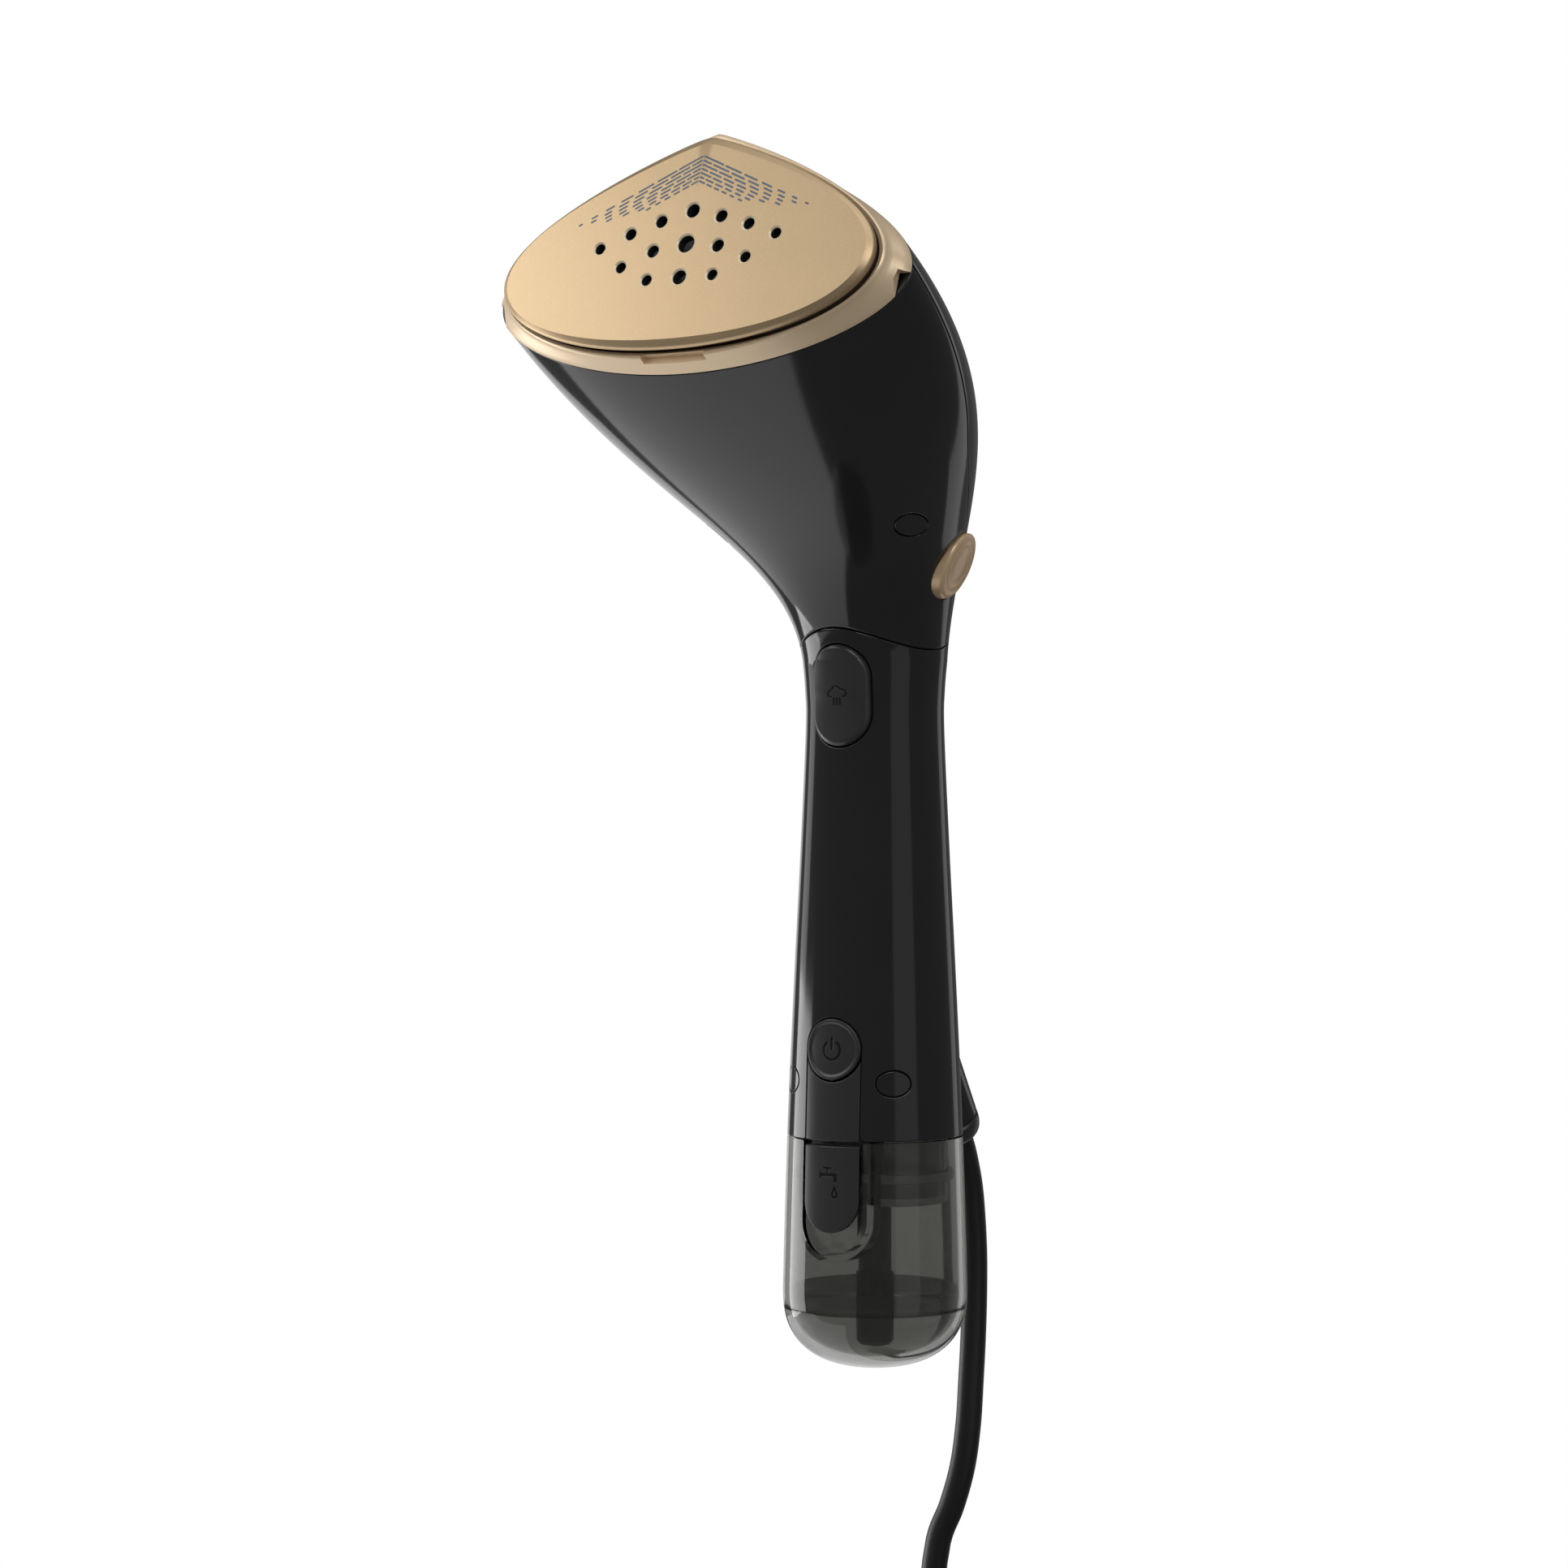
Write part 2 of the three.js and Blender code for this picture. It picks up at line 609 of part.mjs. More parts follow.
const POCKET = { top: -75, bottom: -107, width: 19.8, floor: -19.2 };
const FILL = { z: -88, r: 6.6 };
const FLAP = { top: -75.2, bottom: -100.4, width: 18.3, hingeY: -24.7, hingeZ: -76.5, thick: 2.6 };

// A slot outline that is square at the top and round at the bottom.
function tongueShape(top, bottom, width) {
  const r = width / 2;
  const shape = new THREE.Shape();
  shape.moveTo(r, top);
  shape.lineTo(-r, top);
  shape.lineTo(-r, bottom + r);
  shape.absarc(0, bottom + r, r, Math.PI, 2 * Math.PI, false);
  return shape;
}

const tankOuter = (inset) => {
  const levels = [TANK_TOP, -86, -98, -110, TANK_WELD];
  const points = levels.map((z) => v2(radiusAt(z) - inset, z));
  const profile = [v2(0, TANK_TOP), ...points, v2(0, TANK_WELD)].reverse();
  return new THREE.LatheGeometry(profile, 32).rotateX(Math.PI / 2);
};

function tankShell() {
  const inside = tankOuter(TANK_WALL).scale(1, 1, 1.2).translate(0, 0, 20);
  const wall = cut(tankOuter(0), inside);
  const boss = alongY(tongueShape(TANK_TOP, POCKET.bottom - 2, POCKET.width + 4.4), -40, POCKET.floor + 2);
  const pocket = alongY(tongueShape(TANK_TOP + 5, POCKET.bottom, POCKET.width), -40, POCKET.floor);
  const fillHole = rod(v3(0, -30, FILL.z), v3(0, -10, FILL.z), FILL.r, FILL.r, 24);
  return cut(join(wall, keep(boss, tankOuter(0))), pocket, fillHole);
}

function tankBase() {
  const levels = [-124.3, -128, -132, -136, -139.4, -141.3];
  const outside = levels.map((z) => v2(bowlRadius(z), z));
  const inside = levels.slice(0, -1).map((z) => v2(Math.max(bowlRadius(z) - TANK_WALL, 0.5), z + 1.2));
  inside[0].y = levels[0];
  const profile = [v2(0, TANK_BOTTOM), ...outside.reverse(), ...inside, v2(0, -139)];
  return new THREE.LatheGeometry(profile, 32).rotateX(Math.PI / 2);
}

function fillFlap() {
  const tongue = alongY(tongueShape(FLAP.top, FLAP.bottom, FLAP.width), -40, -10);
  const skin = cut(keep(tongue, tankOuter(0)), tankOuter(FLAP.thick));
  const plug = rod(v3(0, -24.5, FILL.z), v3(0, -18, FILL.z), 5.6, 5.2, 24);
  return join(skin, plug);
}

// ---- Head ----
const BUTTON = { y: -5, z: 93, r: 9.4, crown: 28.4, proud: 3 };
const BUTTON_FACE = v3(0.91, 0.12, -0.4).normalize();
const buttonHole = rod(v3(14, BUTTON.y, BUTTON.z), v3(50, BUTTON.y, BUTTON.z), BUTTON.r + 0.25, BUTTON.r + 0.25, 32);

function headFrontShell() {
  return cut(keep(casing, headSide), frontCutter, buttonHole, ...plugHoles(HEAD_PLUG));
}

function headRearCover() {
  return cut(keep(casing, headSide, rearSide), buttonHole);
}

function releaseButton() {
  const barrel = rod(v3(18.5, BUTTON.y, BUTTON.z), v3(50, BUTTON.y, BUTTON.z), BUTTON.r, BUTTON.r, 32);
  const crown = v3(BUTTON.crown, BUTTON.y, BUTTON.z);
  const blockEnd = crown.clone().addScaledVector(BUTTON_FACE, 40);
  const beyond = rod(crown.clone().addScaledVector(BUTTON_FACE, BUTTON.proud), blockEnd, 60, 60, 8);
  const stem = rod(v3(16.2, BUTTON.y, BUTTON.z), v3(19, BUTTON.y, BUTTON.z), 2.4, 2.4, 14);
  return join(cut(barrel, beyond), stem);
}

function buttonSpring() {
  return spring(v3(14.2, BUTTON.y, BUTTON.z), v3(17.9, BUTTON.y, BUTTON.z), 4.2, 2);
}

const HOLES = [
  [0, 0, 5.1],
  [0, 10.1, 4.1],
  [0, -10.1, 4.2],
  [9.8, 7.6, 3.65],
  [19.3, 4.5, 3.45],
  [28.7, 0.8, 3.2],
  [10.6, -1.4, 3.65],
  [20.3, -5.6, 3.2],
  [10.7, -10.2, 3.2],
];

function steamPlate() {
  const rings = [
    plateRing(shrunk(PLATE_EDGE, 0.6), -PLATE_THICK),
    plateRing(PLATE_EDGE, -1.5),
    plateRing(shrunk(PLATE_EDGE, 1.9), 0),
  ];
  const holes = HOLES.flatMap(([x, y, diameter]) =>
    (x === 0 ? [0] : [-x, x]).map((place) =>
      rod(v3(place, y, -9), v3(place, y, 5), diameter / 2, diameter / 2, 8),
    ),
  );
  return cut(loft(rings), ...holes);
}

function gasket() {
  const outside = plateSolid(shrunk(PLATE_EDGE, 0.8), -5.8, -PLATE_THICK - GAP);
  return cut(outside, plateSolid(shrunk(PLATE_EDGE, 4.5), -9, 0));
}

function bezel() {
  const rings = [
    plateRing(RIM_EDGE, -BEZEL_BACK),
    plateRing(shrunk(PLATE_EDGE, -1.8), -BEZEL_FRONT - 1.2),
    plateRing(shrunk(PLATE_EDGE, -0.9), -BEZEL_FRONT),
  ];
  const inside = plateSolid(shrunk(PLATE_EDGE, 0.5), -20, 5);
  const notch = new THREE.Shape([v2(-13, -50), v2(13, -50), v2(10, -30.9), v2(-10, -30.9)]);
  const notchCut = new THREE.ExtrudeGeometry(notch, { depth: 4, bevelEnabled: false }).translate(0, 0, -6.4);
  const latches = [-1, 1].map((side) => {
    const near = Math.min(side * 63.5, side * 80);
    return box([near, -16, -BEZEL_BACK - 1], [near + 16.5, -9, -BEZEL_BACK + 2.6]);
  });
  return cut(loft(rings), inside, notchCut, ...latches);
}

const CHAMBER = { tip: 25, heel: -24, half: 47, wide: -6 };
const CHAMBER_BACK = -19;
const INLET_Y = -6; // where the hose enters the chamber, in the plate's frame
function steamChamber() {
  const block = plateSolid(CHAMBER, CHAMBER_BACK, -PLATE_THICK - GAP);
  const pool = plateSolid({ tip: 18, heel: -16, half: 36, wide: -4 }, -9, 0);
  return cut(block, pool);
}

function heatingElement() {
  const z = CHAMBER_BACK - 3.3;
  const side = [v3(-12, -19, z), v3(-24, -15, z), v3(-31, -3, z), v3(-22, 9, z)];
  const other = side.map((p) => v3(-p.x, p.y, p.z)).reverse();
  return tube([...side, v3(0, 14.5, z), ...other], 3, 18, 8);
}

function thermostat() {
  const z = CHAMBER_BACK - GAP;
  const cup = rod(v3(0, 0, z - 5), v3(0, 0, z), 7.5, 7.5, 24);
  const cap = rod(v3(0, 0, z - 8), v3(0, 0, z - 4.9), 5.5, 5.5, 24);
  return join(cup, cap);
}

function thermalFuse() {
  return rod(v3(-8, -13, CHAMBER_BACK - 2.5), v3(8, -13, CHAMBER_BACK - 2.5), 2.1, 2.1, 14);
}

function heatShield() {
  const z = CHAMBER_BACK - 11;
  const sheet = plateSolid({ tip: 20, heel: -16, half: 36, wide: -4 }, z - 1.5, z);
  const tubePassage = rod(v3(HOSE.x, INLET_Y, z - 9), v3(HOSE.x, INLET_Y, z + 9), HOSE.r + 1.4);
  return cut(sheet, tubePassage);
}

// From the chamber's back to the flexible link at the hinge.
function inletTube() {
  const toHandle = new THREE.Matrix4().makeRotationX(Math.PI / 2 - PLATE_TILT).setPosition(PLATE_ORIGIN);
  const points = [
    v3(HOSE.x, INLET_Y, CHAMBER_BACK - GAP).applyMatrix4(toHandle),
    v3(HOSE.x, INLET_Y, CHAMBER_BACK - 16).applyMatrix4(toHandle),
    v3(HOSE.x, -32, 148),
    v3(HOSE.x, -5, 140),
    v3(HOSE.x, HOSE.y, HOSE.high + 4),
    v3(HOSE.x, HOSE.y, HOSE.high + GAP),
  ];
  return tube(points, HOSE.r, 24, 8);
}

// ---- Cord ----
const alongOutlet = (distance) => OUTLET_END.clone().addScaledVector(OUTLET_AXIS, distance);

function cordGland() {
  const steps = 6;
  const width = OUTLET_R - 0.1;
  const height = GLAND_LENGTH / Math.sin(GLAND_SWEEP);
  const profile = [v2(0, GAP), v2(width, GAP)];
  for (let i = 1; i <= steps; i++) {
    const angle = (i / steps) * GLAND_SWEEP;
    profile.push(v2(width * Math.cos(angle), GAP + height * Math.sin(angle)));
  }
  profile.push(v2(0, profile.at(-1).y));
  const turn = new THREE.Quaternion().setFromUnitVectors(v3(0, 1, 0), OUTLET_AXIS);
  return new THREE.LatheGeometry(profile, 18)
    .applyQuaternion(turn)
    .translate(OUTLET_END.x, OUTLET_END.y, OUTLET_END.z);
}

function cordClamp() {
  const clamp = box([-6, RAIL_Y + 2.7, -33], [6, RAIL_Y + 7.4, -27]);
  return cut(clamp, rod(v3(0, RAIL_Y + 8.5, -40), v3(0, RAIL_Y + 8.5, -20), CORD_R));
}

const HANK_HEIGHT = HANK.straight + 2 * (HANK.bend + HANK.step + CORD_R);
const HANK_BOTTOM = HANK.top - HANK_HEIGHT;
const HANK_HALF = HANK.bend + HANK.step + CORD_R;
const HANK_DEEP = (HANK.layers - 1) * HANK.step + 2 * CORD_R;

function mainsCord() {
  const points = [
    alongOutlet(GAP + GLAND_LENGTH + GAP),
    v3(0, 52.6, -81.3),
    v3(0, 54.8, -86),
    v3(0, 57.6, -94),
    v3(0, 59.4, -104),
    v3(0, 60.5, -116),
    v3(0, 60.4, -129),
    v3(0, 59.6, -142),
    v3(0, 58.2, -155),
    v3(0, 56.5, -168),
    v3(-1.2, 54.9, -181),
    v3(-4.2, 53.5, -193),
    v3(-8.3, 52.5, -204),
    v3(-12.3, 52, HANK.top - 5),
  ];
  return tube(points, CORD_R, 16, 10);
}

function cordHank() {
  const shape = slotShape(0, 2 * HANK_HALF, HANK_HEIGHT);
  shape.holes.push(slotShape(0, 2 * (HANK.bend - CORD_R), HANK_HEIGHT - 2 * (HANK.step + 2 * CORD_R)));
  return alongX(shape, HANK_DEEP, 10).translate(0, HANK.y, HANK.top - HANK_HEIGHT / 2);
}

function cordTie() {
  const z = HANK.top - HANK_HEIGHT / 2;
  const band = (grow, reach) =>
    box([-HANK_DEEP / 2 - grow, HANK.y - HANK_HALF - grow, z - reach], [
      HANK_DEEP / 2 + grow,
      HANK.y + HANK_HALF + grow,
      z + reach,
    ]);
  return cut(band(GAP + 1.4, 7), band(GAP, 9));
}

const PLUG_TOP = HANK_BOTTOM + 4;
const PLUG_AXIS = v3(-HANK.step / 2, HANK.y + HANK.bend + HANK.step, 0);
function cordTail() {
  const high = PLUG_AXIS.clone().setZ(HANK_BOTTOM + 13);
  return rod(high, PLUG_AXIS.clone().setZ(PLUG_TOP + GAP), CORD_R, CORD_R, 10);
}

const PLUG_FACE = PLUG_TOP - 58;
function mainsPlug() {
  const profile = [
    [0, PLUG_TOP],
    [4.6, PLUG_TOP],
    [6.6, PLUG_TOP - 24],
    [11, PLUG_TOP - 27],
    [15.5, PLUG_TOP - 33],
    [18.2, PLUG_TOP - 44],
    [18.2, PLUG_FACE + 2],
    [17, PLUG_FACE],
    [0, PLUG_FACE],
  ];
  const geometry = new THREE.LatheGeometry(profile.map(([r, z]) => v2(r, z)).reverse(), 20);
  return geometry.rotateX(Math.PI / 2).translate(PLUG_AXIS.x, PLUG_AXIS.y, 0);
}

function plugPin(side) {
  const foot = PLUG_AXIS.clone().add(v3(0, side * 9.5, PLUG_FACE - GAP));
  return rod(foot, foot.clone().add(v3(0, 0, -19)), 2.4, 2.2, 14);
}

// ---- Assembly ----
const plateFrame = new THREE.Group();
plateFrame.rotation.x = Math.PI / 2 - PLATE_TILT;
plateFrame.position.copy(PLATE_ORIGIN);
plateFrame.add(
  mesh("steam_plate", steamPlate(), GOLD),
  mesh("plate_gasket", gasket(), GASKET_BROWN),
  mesh("bezel", bezel(), GOLD),
  mesh("steam_chamber", steamChamber(), ALUMINIUM),
  mesh("heating_element", heatingElement(), STEEL),
  mesh("thermostat", thermostat(), STEEL),
  mesh("thermal_fuse", thermalFuse(), WHITE_PLASTIC),
  mesh("heat_shield", heatShield(), STEEL),
);

const head = new THREE.Group();
head.add(
  plateFrame,
  mesh("head_front_shell", headFrontShell(), GLOSS_BLACK),
  mesh("head_rear_cover", headRearCover(), GLOSS_BLACK),
  mesh("neck_floor", neckFloor(), SATIN_BLACK),
  mesh("hinge_knuckle", hingeKnuckle(), WHITE_PLASTIC),
  mesh("inlet_tube", inletTube(), SILICONE),
  mesh("release_button", releaseButton(), DEEP_GOLD),
  mesh("button_spring", buttonSpring(), STEEL),
);

const handle = new THREE.Group();
handle.add(
  mesh("handle_front_shell", handleFrontShell(), GLOSS_BLACK),
  mesh("handle_rear_cover", handleRearCover(), GLOSS_BLACK),
  mesh("front_inlay", frontInlay(), GLOSS_BLACK),
  mesh("chassis", chassis(), WHITE_PLASTIC),
  mesh("hinge_bracket", hingeBracket(), ALUMINIUM),
  mesh("hinge_pin", hingePin(), STEEL),
  mesh("pump", pump(), WHITE_PLASTIC),
  mesh("control_board", controlBoard(), BOARD_GREEN),
  mesh("trigger_switch", box([-4, -10, TRIGGER.z - 6], [4, -5, TRIGGER.z]), SATIN_BLACK),
  mesh("power_switch", box([-5, -15, POWER.z - 5], [5, -10, POWER.z + 5]), SATIN_BLACK),
  mesh("water_hose", waterHose(), SILICONE),
  mesh("hinge_hose", hingeHose(), SILICONE),
  mesh("tank_seat", tankSeat(), SMOKE),
  mesh("tank_seal", tankSeal(), SILICONE),
  mesh("suction_pipe", suctionPipe(), SATIN_BLACK),
  mesh("suction_filter", suctionFilter(), SATIN_BLACK),
  mesh("trigger", trigger(), SATIN_BLACK),
  mesh("trigger_spring", spring(v3(0, -15.3, TRIGGER.z - 10), v3(0, -8, TRIGGER.z - 10), 2.6, 3), STEEL),
  mesh("power_button", powerButton(), SATIN_BLACK),
);

for (const [side, word] of [
  [-1, "left"],
  [1, "right"],
]) {
  handle.add(
    mesh("handle_plug_" + word, screwPlug(HANDLE_PLUG, side), GLOSS_BLACK),
    mesh("handle_screw_" + word, plugScrew(HANDLE_PLUG, side, radiusAt(HANDLE_PLUG.z)), STEEL),
  );
  head.add(mesh("head_plug_" + word, screwPlug(HEAD_PLUG, side), GLOSS_BLACK));
}

const tank = new THREE.Group();
tank.add(
  mesh("tank_shell", tankShell(), SMOKE),
  mesh("tank_base", tankBase(), SMOKE),
  mesh("fill_flap", fillFlap(), SATIN_BLACK),
);

const cord = new THREE.Group();
cord.add(
  mesh("cord_gland", cordGland(), SATIN_BLACK),
  mesh("cord_clamp", cordClamp(), WHITE_PLASTIC),
  mesh("mains_cord", mainsCord(), CORD_BLACK),
  mesh("cord_hank", cordHank(), CORD_BLACK),
  mesh("cord_tie", cordTie(), SATIN_BLACK),
  mesh("cord_tail", cordTail(), CORD_BLACK),
  mesh("mains_plug", mainsPlug(), CORD_BLACK),
  mesh("plug_pin_near", plugPin(-1), PIN_METAL),
  mesh("plug_pin_far", plugPin(1), PIN_METAL),
);

const group = new THREE.Group();
group.add(head, handle, tank, cord);

export default group;
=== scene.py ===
"""Looks for the hand-held garment steamer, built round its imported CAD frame.

Lengths are in millimetres in the frame's own axes, and become metres where a mesh is made.
"""

import math

import bmesh
import bpy
import numpy as np
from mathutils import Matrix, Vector
from mathutils.geometry import delaunay_2d_cdt


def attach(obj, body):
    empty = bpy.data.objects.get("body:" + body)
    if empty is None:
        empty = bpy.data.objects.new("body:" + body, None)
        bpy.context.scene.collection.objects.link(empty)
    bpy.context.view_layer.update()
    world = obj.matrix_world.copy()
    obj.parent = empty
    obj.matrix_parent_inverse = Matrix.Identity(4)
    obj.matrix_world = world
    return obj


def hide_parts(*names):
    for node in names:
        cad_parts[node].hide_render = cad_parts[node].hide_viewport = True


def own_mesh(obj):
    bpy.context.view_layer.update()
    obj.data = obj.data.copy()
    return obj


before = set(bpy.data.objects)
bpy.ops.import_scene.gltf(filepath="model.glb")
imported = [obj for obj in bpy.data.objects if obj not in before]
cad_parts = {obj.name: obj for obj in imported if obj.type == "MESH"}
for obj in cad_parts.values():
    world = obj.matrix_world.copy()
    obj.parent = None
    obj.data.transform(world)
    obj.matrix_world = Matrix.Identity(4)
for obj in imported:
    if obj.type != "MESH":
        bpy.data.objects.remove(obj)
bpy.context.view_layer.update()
MM = 0.001
GAP = 0.3
HALF_GAP = GAP / 2
FAR = 99.0
TINY = 1e-6

# ---- Driving dimensions, as the CAD has them ----
NECK_Z = 66
HANDLE_PROFILE = [
    (-122.4, 27.4), (-74.4, 26), (-26.4, 23.9), (9.6, 22.1), (46, 20.5), (57.6, 20.7), (NECK_Z, 21.4),
]
TANK_TOP = -74.1
HANDLE_BOTTOM = -73.7
TANK_WELD = -124
BOWL_TOP = -119
TANK_BOTTOM = -142
TANK_WALL = 2.2
WALL = 2.2

PLATE_TILT = math.radians(20)
PLATE_UP = np.array([0, math.sin(PLATE_TILT), math.cos(PLATE_TILT)])
PLATE_OUT = np.array([0, -math.cos(PLATE_TILT), math.sin(PLATE_TILT)])
PLATE_ORIGIN = np.array([0, -101.4, 177.1])
PLATE_EDGE = {"tip": 34, "heel": -30.8, "half": 60.3, "wide": -6.5}
RIM_EDGE = {"tip": 36.5, "heel": -34.2, "half": 67, "wide": -8}
BEZEL_BACK = 10.5
HEAD_START = BEZEL_BACK + GAP
TIP_SLOPE = 9.5 / 28
TIP_ROUND = 0.5
PLATE_TIP_ROUND = 2.4

HINGE_Y, HINGE_Z, SEAM_R = -4.5, 106, 37
SEAM_FRONT_Z = 78.94
ROUNDING = 1.75
REAR_SPLIT_Y = 12.5
REAR_SHARE = {"bezel": -0.22, "neck": 0.58, "bends_from": 0.35}

TRIGGER = {"z": 55.5, "width": 19.2, "height": 30, "proud": 1.4}
POWER = {"z": -47.2, "r": 9, "proud": 0.4}
INLAY_WIDTH = 18.3
PLUG_ANGLE = math.radians(43)
PLUG_WIDE = 10.5
HEAD_PLUG = {"z": 103, "high": 5.8}
HANDLE_PLUG = {"z": -57, "high": 7.5}
BUTTON = {"y": -5, "z": 93, "r": 9.4, "gap": 0.1, "crown": 28.4, "proud": 3, "base": 18.5}
BUTTON_FACE = np.array([0.91, 0.12, -0.4]) / np.linalg.norm([0.91, 0.12, -0.4])
POCKET = {"bottom": -107, "width": 19.8, "floor": -19.2}
FILL = {"z": -88, "r": 6.6}
FLAP = {"top": -75.2, "bottom": -100.4, "width": 18.3, "thick": 2.6}
HOLES = [
    (0, 0, 5.1), (0, 10.1, 4.1), (0, -10.1, 4.2), (9.8, 7.6, 3.65), (19.3, 4.5, 3.45),
    (28.7, 0.8, 3.2), (10.6, -1.4, 3.65), (20.3, -5.6, 3.2), (10.7, -10.2, 3.2),
]

CORD_R = 4
OUTLET_AXIS = np.array([0, math.sin(0.63), -math.cos(0.63)])
OUTLET_END = np.array([0, 46, -72])
OUTLET_R = 8
GLAND_LENGTH = 7
HANK = {"y": 28, "top": -217, "straight": 100, "bend": 24, "step": 8.3, "layers": 4}


# ---- Curves ----
def bezier(points, t):
    """A cubic Bezier's points at an array of shares."""
    p = np.array(points, float)
    t = np.asarray(t, float)[..., None]
    return (1 - t) ** 3 * p[0] + 3 * (1 - t) ** 2 * t * p[1] + 3 * (1 - t) * t * t * p[2] + t**3 * p[3]


def hermite(start, end, leave, arrive, t):
    """Points of the cubic between two points, with its slopes there."""
    cubic = (2 * start - 2 * end + leave + arrive) * t**3
    return cubic + (3 * end - 3 * start - 2 * leave - arrive) * t**2 + leave * t + start


def spline(points, steps):
    """A uniform Catmull-Rom curve through points, its ends doubled."""
    p = np.array(points, float)
    last = len(p) - 1
    t = np.linspace(0, 1, steps, endpoint=False)[:, None]
    found = []
    for i in range(last):
        before, here, there, after = p[max(i - 1, 0)], p[i], p[i + 1], p[min(i + 2, last)]
        leave = (there - before) / 2
        arrive = (after - here) / 2
        found.append(hermite(here, there, leave, arrive, t))
    return np.vstack([*found, p[-1:]])


def centripetal(points, steps):
    """A centripetal Catmull-Rom curve through points, its ends continued straight."""
    p = [np.array(q, float) for q in points]
    p = [2 * p[0] - p[1], *p, 2 * p[-1] - p[-2]]
    t = np.linspace(0, 1, steps, endpoint=False)[:, None]
    found = []
    for a, b, c, d in zip(p, p[1:], p[2:], p[3:]):
        first, mid, end = (max(np.linalg.norm(v - u), 1e-6) ** 0.5 for u, v in ((a, b), (b, c), (c, d)))
        leave = ((b - a) / first - (c - a) / (first + mid) + (c - b) / mid) * mid
        arrive = ((c - b) / mid - (d - b) / (mid + end) + (d - c) / end) * mid
        found.append(hermite(b, c, leave, arrive, t))
    return np.vstack([*found, p[-2][None]])


RADII = spline(HANDLE_PROFILE, 60)


def radius_at(z):
    return np.interp(z, RADII[:, 0], RADII[:, 1])


def tank_radius(z):
    share = np.clip((BOWL_TOP - z) / (BOWL_TOP - TANK_BOTTOM), 0, 1)
    return np.where(z >= BOWL_TOP, radius_at(z), radius_at(BOWL_TOP) * (1 - share**2.5) ** 0.4)


def smooth(low, high, value):
    share = np.clip((value - low) / (high - low), 0, 1)
    return share * share * (3 - 2 * share)


# ---- The plate's family of outlines ----
def outline(edge, turn, tip_round=TIP_ROUND):
    """Points of an outline at turns from 0, its tip, round by +X to 0.5, its heel, and back by -X."""
    tip, heel, half, wide = edge["tip"], edge["heel"], edge["half"], edge["wide"]
    turn = np.asarray(turn, float) % 1
    along = np.where(turn <= 0.5, turn, 1 - turn) * 4
    upper = bezier([(0, tip), (28, tip - 9.5), (half, wide + 14.5), (half, wide)], np.clip(along, 0, 1))
    lower = bezier([(half, wide), (half, wide - 13.5), (35, heel), (0, heel)], np.clip(along - 1, 0, 1))
    p = np.where(along[..., None] < 1, upper, lower)
    drop = TIP_SLOPE * (np.hypot(p[..., 0], tip_round) - p[..., 0])
    y = p[..., 1] - np.where(along < 1, drop, 0)
    return np.stack([np.where(turn <= 0.5, 1, -1) * p[..., 0], y], -1)


def shrunk(edge, inset):
    return {
        "tip": edge["tip"] - 1.3 * inset,
        "heel": edge["heel"] + inset,
        "half": edge["half"] - inset,
        "wide": edge["wide"],
    }


def between(first, second, share):
    return {key: first[key] * (1 - share) + second[key] * share for key in first}


def behind_plate(height, depth):
    """A point of the YZ plane at a height in the plate's frame and a depth behind its face."""
    y = PLATE_ORIGIN[1] + height * math.sin(PLATE_TILT) + depth * math.cos(PLATE_TILT)
    return y, PLATE_ORIGIN[2] + height * math.cos(PLATE_TILT) - depth * math.sin(PLATE_TILT)


def to_plate(solid):
    """Moves a solid from the plate's frame into the handle's."""
    return PLATE_ORIGIN + np.asarray(solid[0], float) @ np.array([[1, 0, 0], PLATE_UP, PLATE_OUT]), solid[1]


# ---- The casing's skin: handle and head as one surface ----
FRONT_LINE = [behind_plate(RIM_EDGE["heel"], HEAD_START), (-57.5, 99), (-30, 97), (-21.4, NECK_Z)]
BACK_LINE = [behind_plate(RIM_EDGE["tip"], HEAD_START), (18, 165), (25.5, 108), (21.4, NECK_Z)]
HALF_WIDTHS = [(67,), (67,), (23.5,), (21.4,)]
RIM_MIDDLE = (RIM_EDGE["tip"] + RIM_EDGE["heel"]) / 2
RIM_REACH = (RIM_EDGE["tip"] - RIM_EDGE["heel"]) / 2


def unit_rings(turn):
    """The bezel's outline and a circle, each scaled to run from -1 to 1."""
    rim = (outline(RIM_EDGE, turn) - [0, RIM_MIDDLE]) / [RIM_EDGE["half"], RIM_REACH]
    return rim, rim / np.linalg.norm(rim, axis=-1, keepdims=True)


def skin(up, turn, inset=0.0):
    """The casing's surface: up is millimetres below the neck if negative, and a share of the head above."""
    rim, circle = unit_rings(turn)
    t = 1 - np.clip(up, 0, 1)
    front = bezier(FRONT_LINE, t)
    back = bezier(BACK_LINE, t)
    reach = (back - front) / 2
    middle = (back + front) / 2
    shrink = 1 - inset / np.linalg.norm(reach, axis=-1)
    width = bezier(HALF_WIDTHS, t)[..., 0] - inset
    share = ((1 - t) ** ROUNDING)[..., None]
    p = share * rim + (1 - share) * circle
    centre = middle + reach * (p[..., 1:] * shrink[..., None])
    head = np.stack([width * p[..., 0], centre[..., 0], centre[..., 1]], -1)
    z = NECK_Z + np.minimum(up, 0)
    r = radius_at(z) - inset
    handle = np.stack([r * circle[..., 0], r * circle[..., 1], z], -1)
    return np.where((up > 0)[..., None], head, handle)


def tank_skin(z, turn, inset=0.0):
    """The tank's surface at a height, at a turn counted from the front towards +X."""
    angle = 2 * math.pi * turn
    r = tank_radius(z) - inset
    return np.stack([r * np.sin(angle), -r * np.cos(angle), z + 0 * r], -1)


